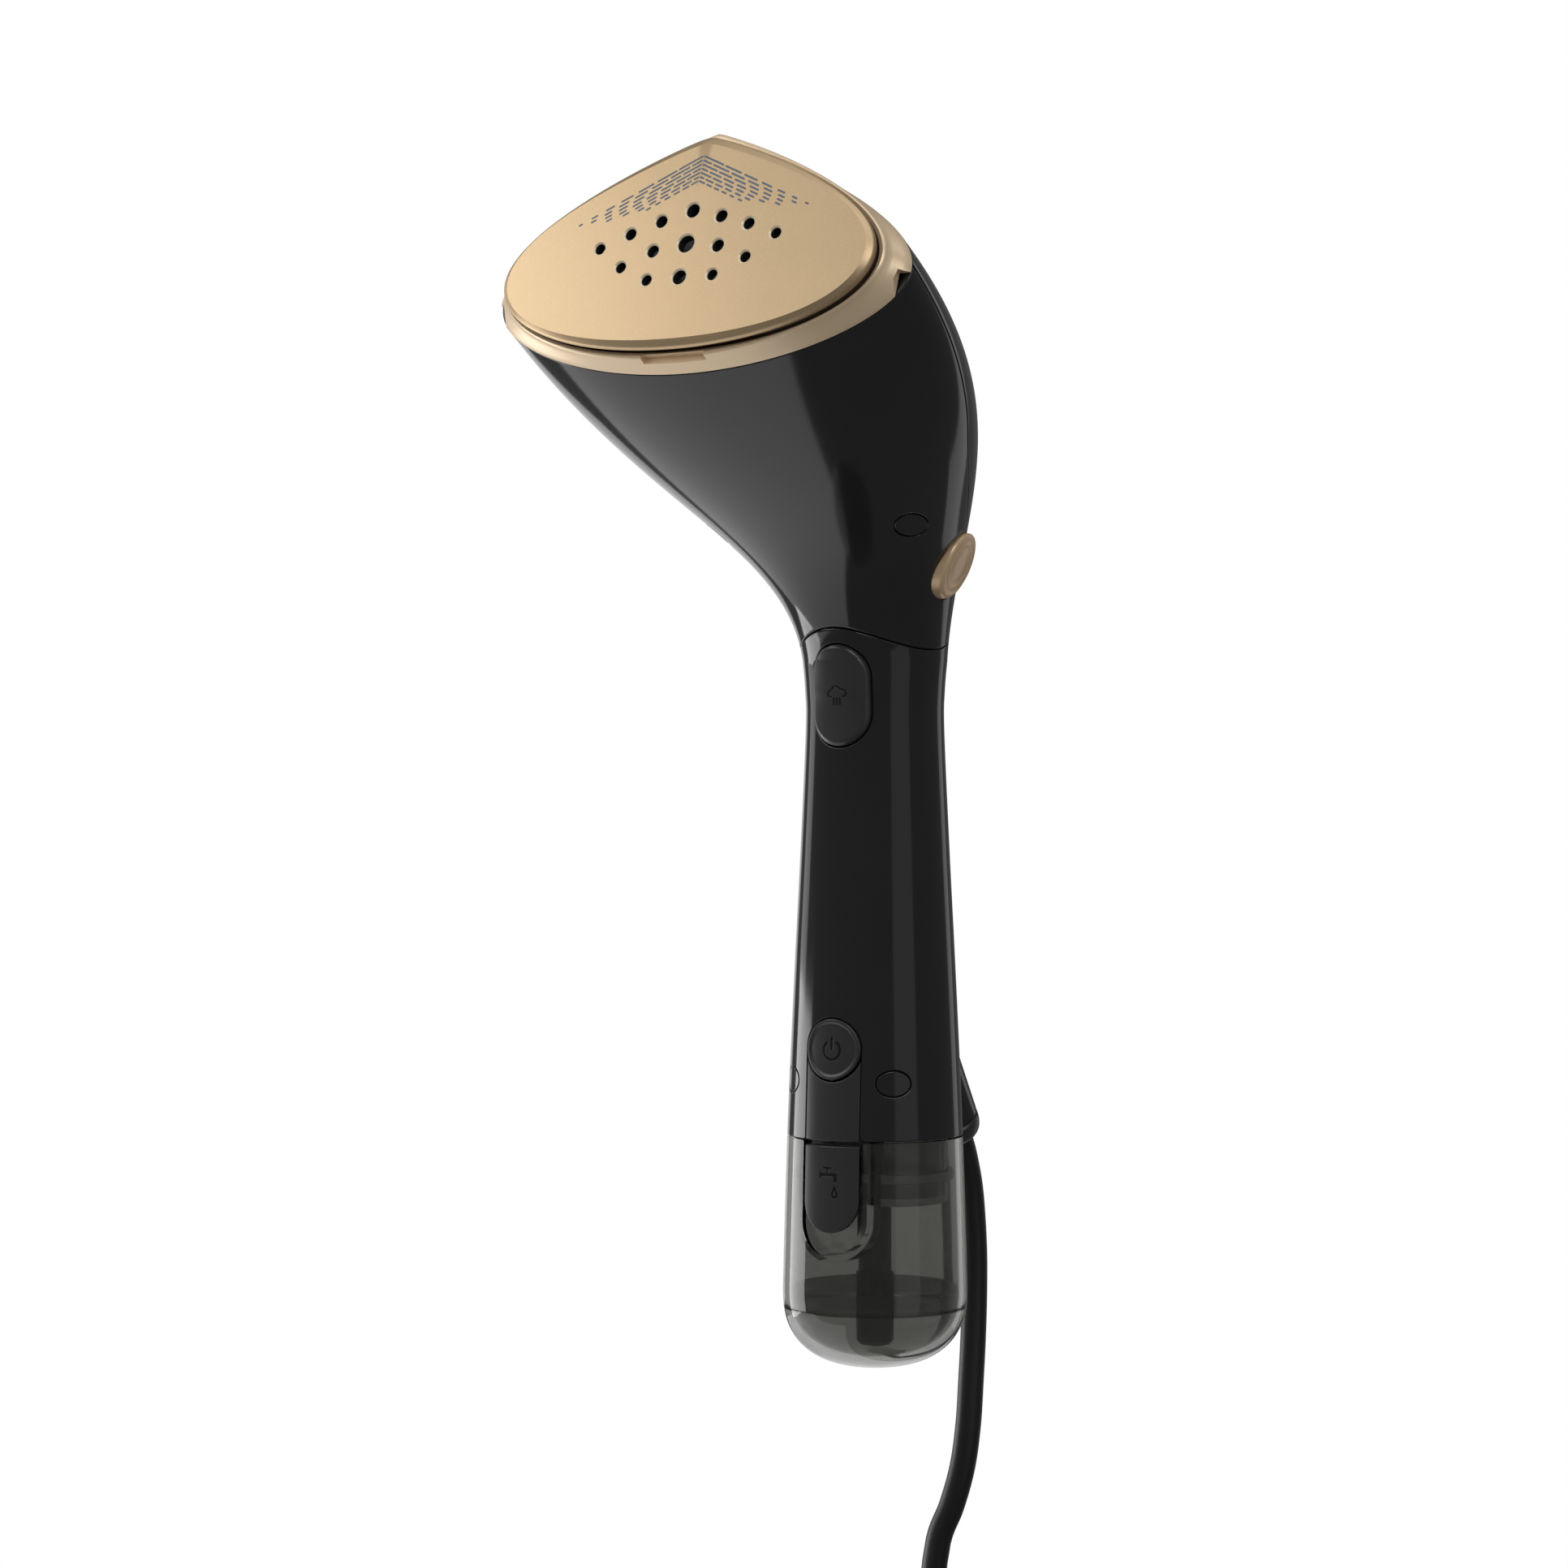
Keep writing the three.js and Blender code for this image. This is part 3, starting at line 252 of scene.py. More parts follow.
# ---- Signed distances on the skin: positive on the named side ----
def above_seam(p):
    reach = np.hypot(p[..., 1] - HINGE_Y, p[..., 2] - HINGE_Z) - SEAM_R
    ceiling = np.where(p[..., 1] < HINGE_Y, SEAM_FRONT_Z, HINGE_Z)
    return -np.minimum(reach, ceiling - p[..., 2])


def behind_split(p, up, turn):
    rim, circle = unit_rings(turn)
    t = 1 - np.clip(up, 0, 1)
    share = (1 - t) ** ROUNDING
    height = share * rim[..., 1] + (1 - share) * circle[..., 1]
    reach = np.linalg.norm(bezier(BACK_LINE, t) - bezier(FRONT_LINE, t), axis=-1) / 2
    bend = smooth(REAR_SHARE["bends_from"], 1, t)
    split = REAR_SHARE["bezel"] * (1 - bend) + REAR_SHARE["neck"] * bend
    return np.where(up > 0, (height - split) * reach, p[..., 1] - REAR_SPLIT_Y)


def below_bezel(p):
    return -((p - PLATE_ORIGIN) @ PLATE_OUT) - HEAD_START


def in_front(p, distance):
    return np.where(p[..., 1] < 0, distance, FAR)


def slot_distance(p, middle, width, height):
    r = width / 2
    dz = np.maximum(np.abs(p[..., 2] - middle) - (height / 2 - r), 0)
    return in_front(p, np.hypot(p[..., 0], dz) - r)


def tongue_distance(p, top, bottom, width):
    """Outside a shape that is square at the top and round at the bottom."""
    r = width / 2
    dz = np.minimum(p[..., 2] - (bottom + r), 0)
    return in_front(p, np.maximum(np.hypot(p[..., 0], dz) - r, p[..., 2] - top))


def oval_distance(p, place, side):
    across = side * p[..., 0] * math.cos(PLUG_ANGLE) + p[..., 1] * math.sin(PLUG_ANGLE)
    a, b = PLUG_WIDE / 2, place["high"] / 2
    v = p[..., 2] - place["z"]
    level = np.hypot(across / a, v / b)
    steepness = np.hypot(across / a**2, v / b**2) / np.maximum(level, 1e-6)
    facing = side * p[..., 0] * math.sin(PLUG_ANGLE) - p[..., 1] * math.cos(PLUG_ANGLE)
    return np.where(facing > 0, (level - 1) / np.maximum(steepness, TINY), FAR)


def button_distance(p):
    reach = np.hypot(p[..., 1] - BUTTON["y"], p[..., 2] - BUTTON["z"]) - BUTTON["r"] - BUTTON["gap"]
    return np.where(p[..., 0] > 0, reach, FAR)


def stroke_distance(x, y, lines):
    """The distance to the nearest of several open lines."""
    nearest = np.full(np.shape(x), FAR)
    for line in lines:
        for (ax, ay), (bx, by) in zip(line, line[1:]):
            dx, dy = bx - ax, by - ay
            along = np.clip(((x - ax) * dx + (y - ay) * dy) / (dx * dx + dy * dy), 0, 1)
            nearest = np.minimum(nearest, np.hypot(x - ax - along * dx, y - ay - along * dy))
    return nearest


def arc(x, y, r, first, last, steps=14):
    angles = np.radians(np.linspace(first, last, steps))
    return [(x + r * math.cos(a), y + r * math.sin(a)) for a in angles]


# ---- Meshes: a solid is a pair of points, in millimetres, and faces ----
EDGE_SHARES = (0.134, 0.5, 1.0, 1.7)
MARK = {"depth": 0.3, "slope": 0.12}
FRONT_WALLS = {"straight_to": 11.5, "square_from": 14.5}
CORE_DEPTH = 5.0
SKIN_STEP = 0.01
HEAD_STEP = 0.0002
TURN_STEP = 0.0001


def link(name, data):
    thing = bpy.data.objects.new(name, data)
    bpy.context.scene.collection.objects.link(thing)
    return thing


def bare_mesh(name, points, faces):
    made = bpy.data.meshes.new(name)
    made.from_pydata([tuple(p) for p in points], [], [tuple(int(i) for i in f) for f in faces])
    return made


def own_normals(mesh, normals, count):
    """Gives a mesh's first faces the normals of their points, and leaves the rest to the mesh."""
    corners = np.zeros(len(mesh.loops), np.int32)
    mesh.loops.foreach_get("vertex_index", corners)
    sizes = np.zeros(len(mesh.polygons), np.int32)
    mesh.polygons.foreach_get("loop_total", sizes)
    known = int(sizes[:count].sum())
    split = np.zeros((len(corners), 3))
    split[:known] = normals[corners[:known]]
    mesh.normals_split_custom_set([tuple(n) for n in split])


def put(name, solid, look, body, replaces=(), slot=None, normals=None, sharp=None, marked=None, flat=None):
    """Makes an object of a solid, with its finish and the body that it rides on.

    marked names further finishes and gives each face's number among them, counted from 1.
    """
    made = bare_mesh(name, np.asarray(solid[0], float) * MM, solid[1])
    made.materials.append(FINISH[look])
    if marked:
        for extra in marked[0]:
            made.materials.append(FINISH[extra])
        made.polygons.foreach_set("material_index", np.asarray(marked[1], np.int32))
    made.polygons.foreach_set("use_smooth", [not level for level in flat or [False] * len(solid[1])])
    if sharp is not None:
        made.set_sharp_from_angle(angle=math.radians(sharp))
    if normals is not None:
        own_normals(made, *normals)
    made.update()
    thing = link(name, made)
    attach(thing, body)
    if replaces:
        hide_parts(*replaces)
    return thing


def rounding(distance, radius):
    """How far an edge of that radius falls away at a distance inside it."""
    inside = np.clip(distance, 0, radius)
    return radius - np.sqrt(np.maximum(radius**2 - (radius - inside) ** 2, 0))


def crossings(params, pairs, value, field, level):
    """The points between pairs of points where a field crosses a level."""
    a, b = params[pairs[:, 0]], params[pairs[:, 1]]
    low, high = np.zeros(len(pairs)), np.ones(len(pairs))
    at_low, at_high = value[pairs[:, 0]], value[pairs[:, 1]]
    for _ in range(6):
        share = low + (high - low) * at_low / (at_low - at_high)
        share = np.clip(share, low + 0.02 * (high - low), high - 0.02 * (high - low))
        found = field(a + (b - a) * share[:, None]) - level
        left = np.sign(found) == np.sign(at_low)
        low, at_low = np.where(left, share, low), np.where(left, found, at_low)
        high, at_high = np.where(left, high, share), np.where(left, at_high, found)
        at_high = np.where(at_high == at_low, at_high + 1e-12, at_high)
    share = low + (high - low) * np.clip(at_low / (at_low - at_high), 0, 1)
    return a + (b - a) * share[:, None]


def sides_of(tris):
    return np.concatenate([tris[:, [0, 1]], tris[:, [1, 2]], tris[:, [2, 0]]])


def split_at(params, tris, field, level):
    """Splits triangles of a parameter sheet where a field crosses a level."""
    value = field(params) - level
    value[np.abs(value) < 1e-4] = 0
    sign = np.sign(value)
    pairs = np.unique(np.sort(sides_of(tris), axis=1), axis=0)
    crossed = pairs[sign[pairs[:, 0]] * sign[pairs[:, 1]] < 0]
    if not len(crossed):
        return params, tris
    middle = {tuple(pair): len(params) + i for i, pair in enumerate(crossed.tolist())}
    params = np.vstack([params, crossings(params, crossed, value, field, level)])
    signs = sign[tris]
    mixed = (signs.max(1) > 0) & (signs.min(1) < 0)
    extra = []
    for tri in tris[mixed].tolist():
        cuts = [middle.get((min(tri[i], tri[i - 2]), max(tri[i], tri[i - 2]))) for i in range(3)]
        one = sum(cut is not None for cut in cuts) == 1
        i = next(i for i in range(3) if (cuts[i] is not None) == one)
        p, q, r = tri[i], tri[(i + 1) % 3], tri[(i + 2) % 3]
        if one:
            extra += [(p, cuts[i], r), (cuts[i], q, r)]
        else:
            near, far = cuts[(i + 2) % 3], cuts[(i + 1) % 3]
            extra += [(p, q, far), (p, far, near), (near, far, r)]
    return params, np.vstack([tris[~mixed], np.array(extra, int)])


def welded(params, tris):
    """Joins points at the same place, and drops flat triangles and loose points."""
    key = np.round(np.stack([params[:, 0], params[:, 1] % 1], 1), 7)
    _, first, inverse = np.unique(key, axis=0, return_index=True, return_inverse=True)
    params, tris = params[first], inverse.reshape(-1)[tris]
    tris = tris[(tris != np.roll(tris, -1, axis=1)).all(1)]
    used, packed = np.unique(tris, return_inverse=True)
    return params[used], packed.reshape(-1, 3)


def cut_sheet(rows, columns, field, edge, marks):
    """Triangles of a grid where a field is positive, with rows of points along its edge and its marks."""
    up, turn = np.meshgrid(rows, columns, indexing="ij")
    params = np.stack([up.ravel(), turn.ravel()], 1)
    index = np.arange(up.size).reshape(up.shape)
    a, b = index[:-1, :-1].ravel(), index[:-1, 1:].ravel()
    c, d = index[1:, 1:].ravel(), index[1:, :-1].ravel()
    tris = np.vstack([np.stack([a, b, c], 1), np.stack([a, c, d], 1)])
    params, tris = split_at(params, tris[field(params)[tris].max(1) > -1.5], field, 0.0)
    tris = tris[field(params)[tris].mean(1) > 1e-5]
    for share in EDGE_SHARES:
        params, tris = split_at(params, tris, field, share * edge)
    if marks:
        for level in (0.0, -MARK["slope"]):
            params, tris = split_at(params, tris, marks, level)
    return welded(params, tris)


def inner_points(params, surface, wall, straight, body):
    """The inside of a shell. Straight walls run back along Y, all over or only in the middle of the front."""
    inner = surface(params[:, 0], params[:, 1], np.full(len(params), wall))
    if straight:
        back = surface(params[:, 0], params[:, 1], np.zeros(len(params))) + [0, wall, 0]
        share = np.zeros((len(params), 1))
        if straight == "middle":
            across = np.abs(back[:, :1])
            share = smooth(FRONT_WALLS["straight_to"], FRONT_WALLS["square_from"], across)
        inner = inner * share + back * (1 - share)
    if surface is skin and body == "handle":
        clear = SEAM_R + HALF_GAP
        fall = HINGE_Z - np.sqrt(np.maximum(clear**2 - (inner[:, 1] - HINGE_Y) ** 2, 0))
        inner[:, 2] = np.where(above_seam(inner) > -HALF_GAP, np.minimum(inner[:, 2], fall), inner[:, 2])
    return inner


def sheet_piece(name, rows, columns, inside, look, body, surface=skin, edge=0.35, wall=WALL, proud=0.0,
                groove=None, dish=None, straight=None, **rest):
    """A shell cut out of a surface where the field inside is positive, with rounded edges and real thickness.

    groove is a distance that is negative inside engraved marks, and dish a depth at a distance from the edge.
    """
    def field(q):
        return inside(surface(q[:, 0], q[:, 1]), q[:, 0], q[:, 1])

    def marks(q):
        return groove(surface(q[:, 0], q[:, 1]))

    def place(q):
        reach = field(q)
        sunk = rounding(reach, edge) - proud
        if dish:
            sunk = sunk + dish(reach)
        if groove:
            sunk = sunk + MARK["depth"] * smooth(0, MARK["slope"], -marks(q))
        return surface(q[:, 0], q[:, 1], sunk)

    params, tris = cut_sheet(rows, columns, field, edge, groove and marks)
    points = place(params)
    inner = inner_points(params, surface, wall, straight, body)
    centre = surface(params[:, 0], params[:, 1], np.full(len(params), CORE_DEPTH))
    on_head = (params[:, 0] > 0) & (surface is skin)
    move_up = np.stack([np.where(on_head, HEAD_STEP, SKIN_STEP), np.zeros(len(params))], 1)
    move_on = np.array([0, TURN_STEP])
    normal = np.cross(place(params + move_on) - place(params - move_on),
                      place(params + move_up) - place(params - move_up))
    normal /= np.maximum(np.linalg.norm(normal, axis=1, keepdims=True), 1e-12)
    if np.einsum("ij,ij->i", normal, points - centre).sum() < 0:
        normal = -normal
    corner = points[tris]
    facing = np.cross(corner[:, 1] - corner[:, 0], corner[:, 2] - corner[:, 0])
    if np.einsum("ij,ij->i", facing, corner.mean(1) - centre[tris].mean(1)).sum() < 0:
        tris = tris[:, ::-1]
    directed = set(map(tuple, sides_of(tris).tolist()))
    rim = sorted((i, j) for i, j in directed if (j, i) not in directed)
    count = len(params)
    faces = tris.tolist() + (tris[:, ::-1] + count).tolist() + [(j, i, i + count, j + count) for i, j in rim]
    if groove:
        inked = marks(params)[tris].mean(1) < -MARK["slope"] / 2
        rest["marked"] = (["painted_bore_shade_and_mark_black"], [*inked.astype(int).tolist(), *([0] * (len(faces) - len(tris)))])
    return put(name, (np.vstack([points, inner]), faces), look, body,
               normals=(np.vstack([normal, normal]), len(tris)), **rest)


def wheel(r, sides, centre=(0, 0)):
    """Points of a circle in its own plane."""
    angles = [2 * math.pi * i / sides for i in range(sides)]
    return [(centre[0] + r * math.cos(a), centre[1] + r * math.sin(a)) for a in angles]


def add_ring(points, ring):
    """Adds a ring to a list of points, and gives the numbers of its own."""
    points += ring
    return list(range(len(points) - len(ring), len(points)))


def stitch(rings, closed=False):
    """Faces between rings of point numbers, any of which may be a single point."""
    faces = []
    for low, high in [*zip(rings, rings[1:]), *([(rings[-1], rings[0])] if closed else [])]:
        count = max(len(low), len(high))
        for i in range(count):
            j = (i + 1) % count
            if len(low) == 1:
                faces.append((low[0], high[j], high[i]))
            elif len(high) == 1:
                faces.append((low[i], low[j], high[0]))
            else:
                faces.append((low[i], low[j], high[j], high[i]))
    return faces


def outward(solid):
    """The same solid with its faces turned to face out of it."""
    p = np.asarray(solid[0])
    volume = sum(
        np.dot(p[f[0]], np.cross(p[f[i]], p[f[i + 1]])) for f in solid[1] for i in range(1, len(f) - 1)
    )
    return solid if volume > 0 else (solid[0], [tuple(reversed(f)) for f in solid[1]])


def revolve(profile, sides=64, axis=(0, 0, 1), origin=(0, 0, 0)):
    """A solid turned from (radius, height) pairs about an axis. Radius 0 closes an end."""
    axis = np.array(axis, float) / np.linalg.norm(axis)
    first = np.cross(axis, [1, 0, 0] if abs(axis[0]) < 0.9 else [0, 1, 0])
    first /= np.linalg.norm(first)
    second = np.cross(axis, first)
    points, rings = [], []
    for r, h in profile:
        foot = np.array(origin) + axis * h
        spokes = wheel(r, sides) if r > TINY else [(0, 0)]
        rings.append(add_ring(points, [foot + (u * first + v * second) for u, v in spokes]))
    return np.array(points), stitch(rings)


def lathe(name, profile, look, body, sides=64, axis=(0, 0, 1), origin=(0, 0, 0), sharp=40, **rest):
    return put(name, outward(revolve(profile, sides, axis, origin)), look, body, sharp=sharp, **rest)


def boolean(solid, cutter, operation="DIFFERENCE"):
    """Cuts, joins or keeps one closed solid against another."""
    things = [link("cutting", bare_mesh("cutting", *outward(each))) for each in (solid, cutter)]
    modifier = things[0].modifiers.new("cut", "BOOLEAN")
    modifier.operation = operation
    modifier.object = things[1]
    modifier.solver = "EXACT"
    bpy.context.view_layer.update()
    seen = things[0].evaluated_get(bpy.context.evaluated_depsgraph_get())
    result = seen.to_mesh()
    points = np.array([v.co[:] for v in result.vertices])
    faces = [tuple(f.vertices) for f in result.polygons]
    seen.to_mesh_clear()
    for thing in things:
        used = thing.data
        bpy.data.objects.remove(thing)
        bpy.data.meshes.remove(used)
    return points, faces


def prism(shape, low, high, axis="y"):
    """A flat outline drawn out along an axis. For y the outline is in X and Z, and for z in X and Y."""
    count = len(shape)
    points = [(x, level, y) if axis == "y" else (x, y, level) for level in (low, high) for x, y in shape]
    bottom, top = list(range(count)), list(range(count, 2 * count))
    return np.array(points, float), [tuple(reversed(bottom)), tuple(top), *stitch([bottom, top])]


def tongue(top, bottom, width, steps=40):
    r = width / 2
    return [(r, top), (-r, top), *arc(0, bottom + r, r, 180, 360, steps)]


def sweep_outline(profile, count=240):
    """A closed band round the plate, from (outline, height) pairs in the plate's frame."""
    points, rings = [], []
    for edge, height in profile:
        rings.append(add_ring(points, [(x, y, height) for x, y in outline(edge, np.arange(count) / count)]))
    return np.array(points), stitch(rings, True)


# ---- Materials ----
FINISH = {}


def add_node(tree, kind, **values):
    """A new shader node, with values for its sockets."""
    made = tree.nodes.new("ShaderNode" + kind)
    for name, value in values.items():
        made.inputs[name.replace("_", " ")].default_value = value
    return made


def shaded(colour, factor):
    return (*[min(1, c * factor) for c in colour], 1)


def mixed(tree, factor, first, second):
    """A colour between first, which may be another node's output, and second."""
    made = tree.nodes.new("ShaderNodeMix")
    made.data_type = "RGBA"
    tree.links.new(factor, made.inputs["Factor"])
    if isinstance(first, tuple):
        made.inputs["A"].default_value = first
    else:
        tree.links.new(first, made.inputs["A"])
    made.inputs["B"].default_value = second
    return made.outputs["Result"]


def finish(name, colour, rough, shade=0.12, patch=0.02, grain=0.0004, bump=0.15, metal=0.0, coat=0.0,
           clear=0.0, ior=1.5, rough_span=0.06, speckle=0.0, stretch=None):
    """A moulded, cast, painted or drawn finish: cloudy colour, uneven gloss and a fine grain.

    patch and grain are the sizes, in metres, of the cloudiness and of the surface grain. speckle adds
    metal flakes, and stretch draws the grain out along an axis.
    """
    made = bpy.data.materials.new(name)
    made.use_nodes = True
    tree = made.node_tree
    join = tree.links.new
    shader = tree.nodes["Principled BSDF"]
    place = add_node(tree, "TexCoord").outputs["Object"]
    if stretch:
        spread = add_node(tree, "Mapping", Scale=stretch)
        join(place, spread.inputs["Vector"])
        place = spread.outputs["Vector"]
    cloud = add_node(tree, "TexNoise", Scale=1 / patch, Detail=4)
    fine = add_node(tree, "TexNoise", Scale=1 / grain, Detail=2)
    join(place, cloud.inputs["Vector"])
    join(place, fine.inputs["Vector"])
    base = mixed(tree, cloud.outputs["Fac"], shaded(colour, 1 - shade), shaded(colour, 1 + shade))
    if speckle:
        spots = add_node(tree, "MapRange", From_Min=0.56, From_Max=0.72, To_Max=speckle)
        join(fine.outputs["Fac"], spots.inputs["Value"])
        base = mixed(tree, spots.outputs["Result"], base, shaded(colour, 1.5))
    join(base, shader.inputs["Base Color"])
    half_span = rough_span / 2
    gloss = add_node(tree, "MapRange", To_Min=max(0.01, rough - half_span), To_Max=rough + half_span)
    join(cloud.outputs["Fac"], gloss.inputs["Value"])
    join(gloss.outputs["Result"], shader.inputs["Roughness"])
    relief = add_node(tree, "Bump", Strength=bump, Distance=grain * 0.1)
    join(fine.outputs["Fac"], relief.inputs["Height"])
    join(relief.outputs["Normal"], shader.inputs["Normal"])
    uniform = {"Metallic": metal, "IOR": ior, "Coat Weight": coat, "Coat Roughness": 0.04}
    for key, value in {**uniform, "Transmission Weight": clear}.items():
        shader.inputs[key].default_value = value
    FINISH[name] = made
    return shader


finish("gloss_black", (0.021, 0.021, 0.0224), 0.1, rough_span=0.02, bump=0.02)
finish("satin_black", (0.04, 0.04, 0.0422), 0.3, grain=0.00025, bump=0.3)
finish("plate_gold", (0.62, 0.455, 0.27), 0.42, shade=0.06, patch=0.012, grain=0.0003, bump=0.3, metal=0.75,
       speckle=0.3)
finish("bezel_gold", (0.93, 0.72, 0.48), 0.36, shade=0.05, grain=0.0003, bump=0.1, metal=0.3)
finish("button_gold", (0.92, 0.66, 0.4), 0.34, shade=0.08, grain=0.0003, bump=0.15, metal=0.25)
finish("gasket_brown", (0.022, 0.011, 0.006), 0.45, bump=0.3)
finish("smoke", (0.26, 0.26, 0.248), 0.04, shade=0.04, bump=0.01, clear=1.0, ior=1.46, rough_span=0.02)
finish("seat_smoke", (0.5, 0.5, 0.48), 0.12, shade=0.06, bump=0.05, clear=0.85, ior=1.46)
finish("steel", (0.55, 0.55, 0.56), 0.28, grain=0.0005, bump=0.3, metal=1.0, stretch=(1, 1, 0.08))
finish("cast_aluminium", (0.52, 0.52, 0.53), 0.5, grain=0.0009, bump=0.7, metal=1.0)
finish("board_green", (0.012, 0.11, 0.035), 0.3, patch=0.004, shade=0.5, bump=0.3, coat=0.4)
finish("white_plastic", (0.72, 0.71, 0.68), 0.38, shade=0.04, bump=0.2)
finish("silicone", (0.42, 0.42, 0.41), 0.45, shade=0.06, grain=0.0006, bump=0.3)
finish("cord_black", (0.009, 0.009, 0.009), 0.42, grain=0.0005, bump=0.4)
finish("pin_metal", (0.62, 0.58, 0.48), 0.24, grain=0.0005, bump=0.3, metal=1.0, stretch=(1, 1, 0.1))
# Painted highlight: the holes' chamfers are the plate's own metal, given a lighter, less metallic gold that
# stands in for the glint of light along their edges.
finish("hole_edge_painted_highlight", (0.9, 0.76, 0.55), 0.35, shade=0.04, bump=0.1, metal=0.15)
# Near-black: painted shade on the walls of the plate's holes, which are really the plate's own metal; the
# same finish also colours the floors of the engraved marks.
finish("painted_bore_shade_and_mark_black", (0.002, 0.002, 0.002), 0.8, bump=0.2)
finish("print_blue", (0.14, 0.17, 0.22), 0.45, patch=0.003, bump=0.1)
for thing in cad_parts.values():
    for place in thing.material_slots:
        key = place.material.name.split(".")[0] if place.material else "satin_black"
        if key in FINISH:
            place.material = FINISH[key]


# ---- Camera ----
CAMERA_TURN = math.radians(32)
eye = bpy.data.cameras.new("camera")
eye.lens = 85
eye.sensor_width = 36
eye.clip_start = 0.05
camera = link("camera", eye)
camera.location = (0.5574, -0.9428, 0.02976)
camera.rotation_euler = (math.pi / 2, 0, CAMERA_TURN)
bpy.context.scene.camera = camera


# ---- The mains lead: gland, one cord with its hank, strap and plug ----
PLUG_X, PLUG_Y = -4.15, 60.3
PLUG_TOP = -385.6
PLUG_FACE = -443.6
TAIL_END = PLUG_TOP + 0.3
HANK_OUTER = HANK["bend"] + HANK["step"]
HANK_TOP = HANK["top"] - HANK_OUTER - CORD_R
HANK_BOTTOM = HANK_TOP - HANK["straight"]
HANK_HALF = (HANK["layers"] - 1) / 2 * HANK["step"]
CORD_START = OUTLET_END + OUTLET_AXIS * (GLAND_LENGTH + 0.6)


def hank_turns():
    """The hank's turns: four side by side, and two over the last of them."""
    columns = [i * HANK["step"] - HANK_HALF for i in range(HANK["layers"])]
    turns = [(x, HANK["bend"]) for x in columns] + [(columns[-1], HANK_OUTER), (columns[-2], HANK_OUTER)]
    route = [(columns[0], HANK["y"] + HANK["bend"], HANK_TOP)]
    for number, (x, r) in enumerate(turns):
        for share in (0.25, 0.5, 0.75, 1):
            route.append((x, HANK["y"] + r, HANK_TOP - HANK["straight"] * share))
        route += [(x, HANK["y"] + across, HANK_BOTTOM - down) for across, down in arc(0, 0, r, 15, 165, 11)]
        for share in (0, 0.25, 0.5, 0.75):
            route.append((x, HANK["y"] - r, HANK_BOTTOM + HANK["straight"] * share))
        next_x, next_r = [*turns, (PLUG_X, HANK_OUTER)][number + 1]
        for angle in range(0, 181, 15):
            a = math.radians(angle)
            share = smooth(0, 180, angle)
            back = r + (next_r - r) * smooth(90, 180, angle)
            rise = r + (next_r - r) * share
            y = HANK["y"] - back * math.cos(a)
            route.append((x + (next_x - x) * share, y, HANK_TOP + rise * math.sin(a)))
    return route


def cord_route():
    """The lead's centreline: out of the gland, down, round the hank's turns and down to the plug."""
    hung = [
        tuple(CORD_START), (0, 52.6, -81.3), (0, 54.8, -86), (0, 57.6, -94), (0, 59.4, -104), (0, 60.5, -116),
        (0, 60.4, -129), (0, 59.6, -142), (0, 58.2, -155), (0, 56.5, -168), (-1.2, 54.9, -181),
        (-4.2, 53.5, -193), (-8.3, 52.5, -204),
    ]
    drop = TAIL_END - HANK_TOP
    tail = [(PLUG_X, HANK["y"] + HANK_OUTER, HANK_TOP + drop * share) for share in (0.2, 0.4, 0.6, 0.8, 1.0)]
    return hung + hank_turns() + tail


centreline = centripetal(cord_route(), 6) * MM
lead = bpy.data.curves.new("mains_lead", "CURVE")
lead.dimensions = "3D"
lead.bevel_depth = CORD_R * MM
lead.bevel_resolution = 6
lead.use_fill_caps = True
line = lead.splines.new("POLY")
line.points.add(len(centreline) - 1)
line.points.foreach_set("co", np.hstack([centreline, np.ones((len(centreline), 1))]).ravel())
line.use_smooth = True
lead.materials.append(FINISH["cord_black"])
mains_lead = link("mains_lead", lead)
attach(mains_lead, "handle")
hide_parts("mains_cord", "cord_hank", "cord_tail")

GLAND_BORE = CORD_R + 0.05
GLAND_PROFILE = [
    (GLAND_BORE, 0), (OUTLET_R - 0.6, 0), (OUTLET_R, 0.7),
    *[(4.9 + 3.1 * math.cos(a) ** 0.8, 1.2 + 5.6 * math.sin(a)) for a in np.linspace(0.02, 1.5, 9)],
    (CORD_R + 0.35, GLAND_LENGTH), (GLAND_BORE, GLAND_LENGTH - 0.25), (GLAND_BORE, 0),
]
gland = lathe("cord_gland_dome", GLAND_PROFILE, "satin_black", "handle", axis=OUTLET_AXIS,
              origin=OUTLET_END + OUTLET_AXIS * GAP, replaces=["cord_gland"])

PLUG_PROFILE = [
    (0, 0), (4.2, 0), (4.6, -0.5), (4.75, -6), (4.4, -7), (5.2, -8), (5.3, -10.5), (4.8, -11.5), (5.7, -12.5),
    (5.8, -15), (5.3, -16), (6.2, -17), (6.4, -20.5), (6.9, -23.4), (8.3, -25.6), (11, -27.4), (13.6, -30),
    (15.5, -33), (17, -37.5), (18.2, -44), (18.2, -55.4), (17.9, -56.9), (17, -58), (0, -58),
]
plug = lathe("mains_plug_body", PLUG_PROFILE, "satin_black", "handle", sides=96,
             origin=(PLUG_X, PLUG_Y, PLUG_TOP), replaces=["mains_plug"])


def tie():
    """A flat band round the waist of the hank, with rounded edges."""
    middle, clear, corner = (HANK_TOP + HANK_BOTTOM) / 2, CORD_R + GAP, 4
    half_x, half_y = HANK_HALF + clear - corner, HANK_OUTER + clear - corner
    points, rings = [], []
    for grow, height in [(0, -7), (1.0, -7), (1.4, -6.6), (1.4, 6.6), (1.0, 7), (0, 7)]:
        ring = []
        for x, y, first in [(1, 1, 0), (-1, 1, 90), (-1, -1, 180), (1, -1, 270)]:
            ring += arc(x * half_x, HANK["y"] + y * half_y, corner + grow, first, first + 90, 10)
        rings.append(add_ring(points, [(x, y, middle + height) for x, y in ring]))
    return outward((points, stitch(rings, True)))


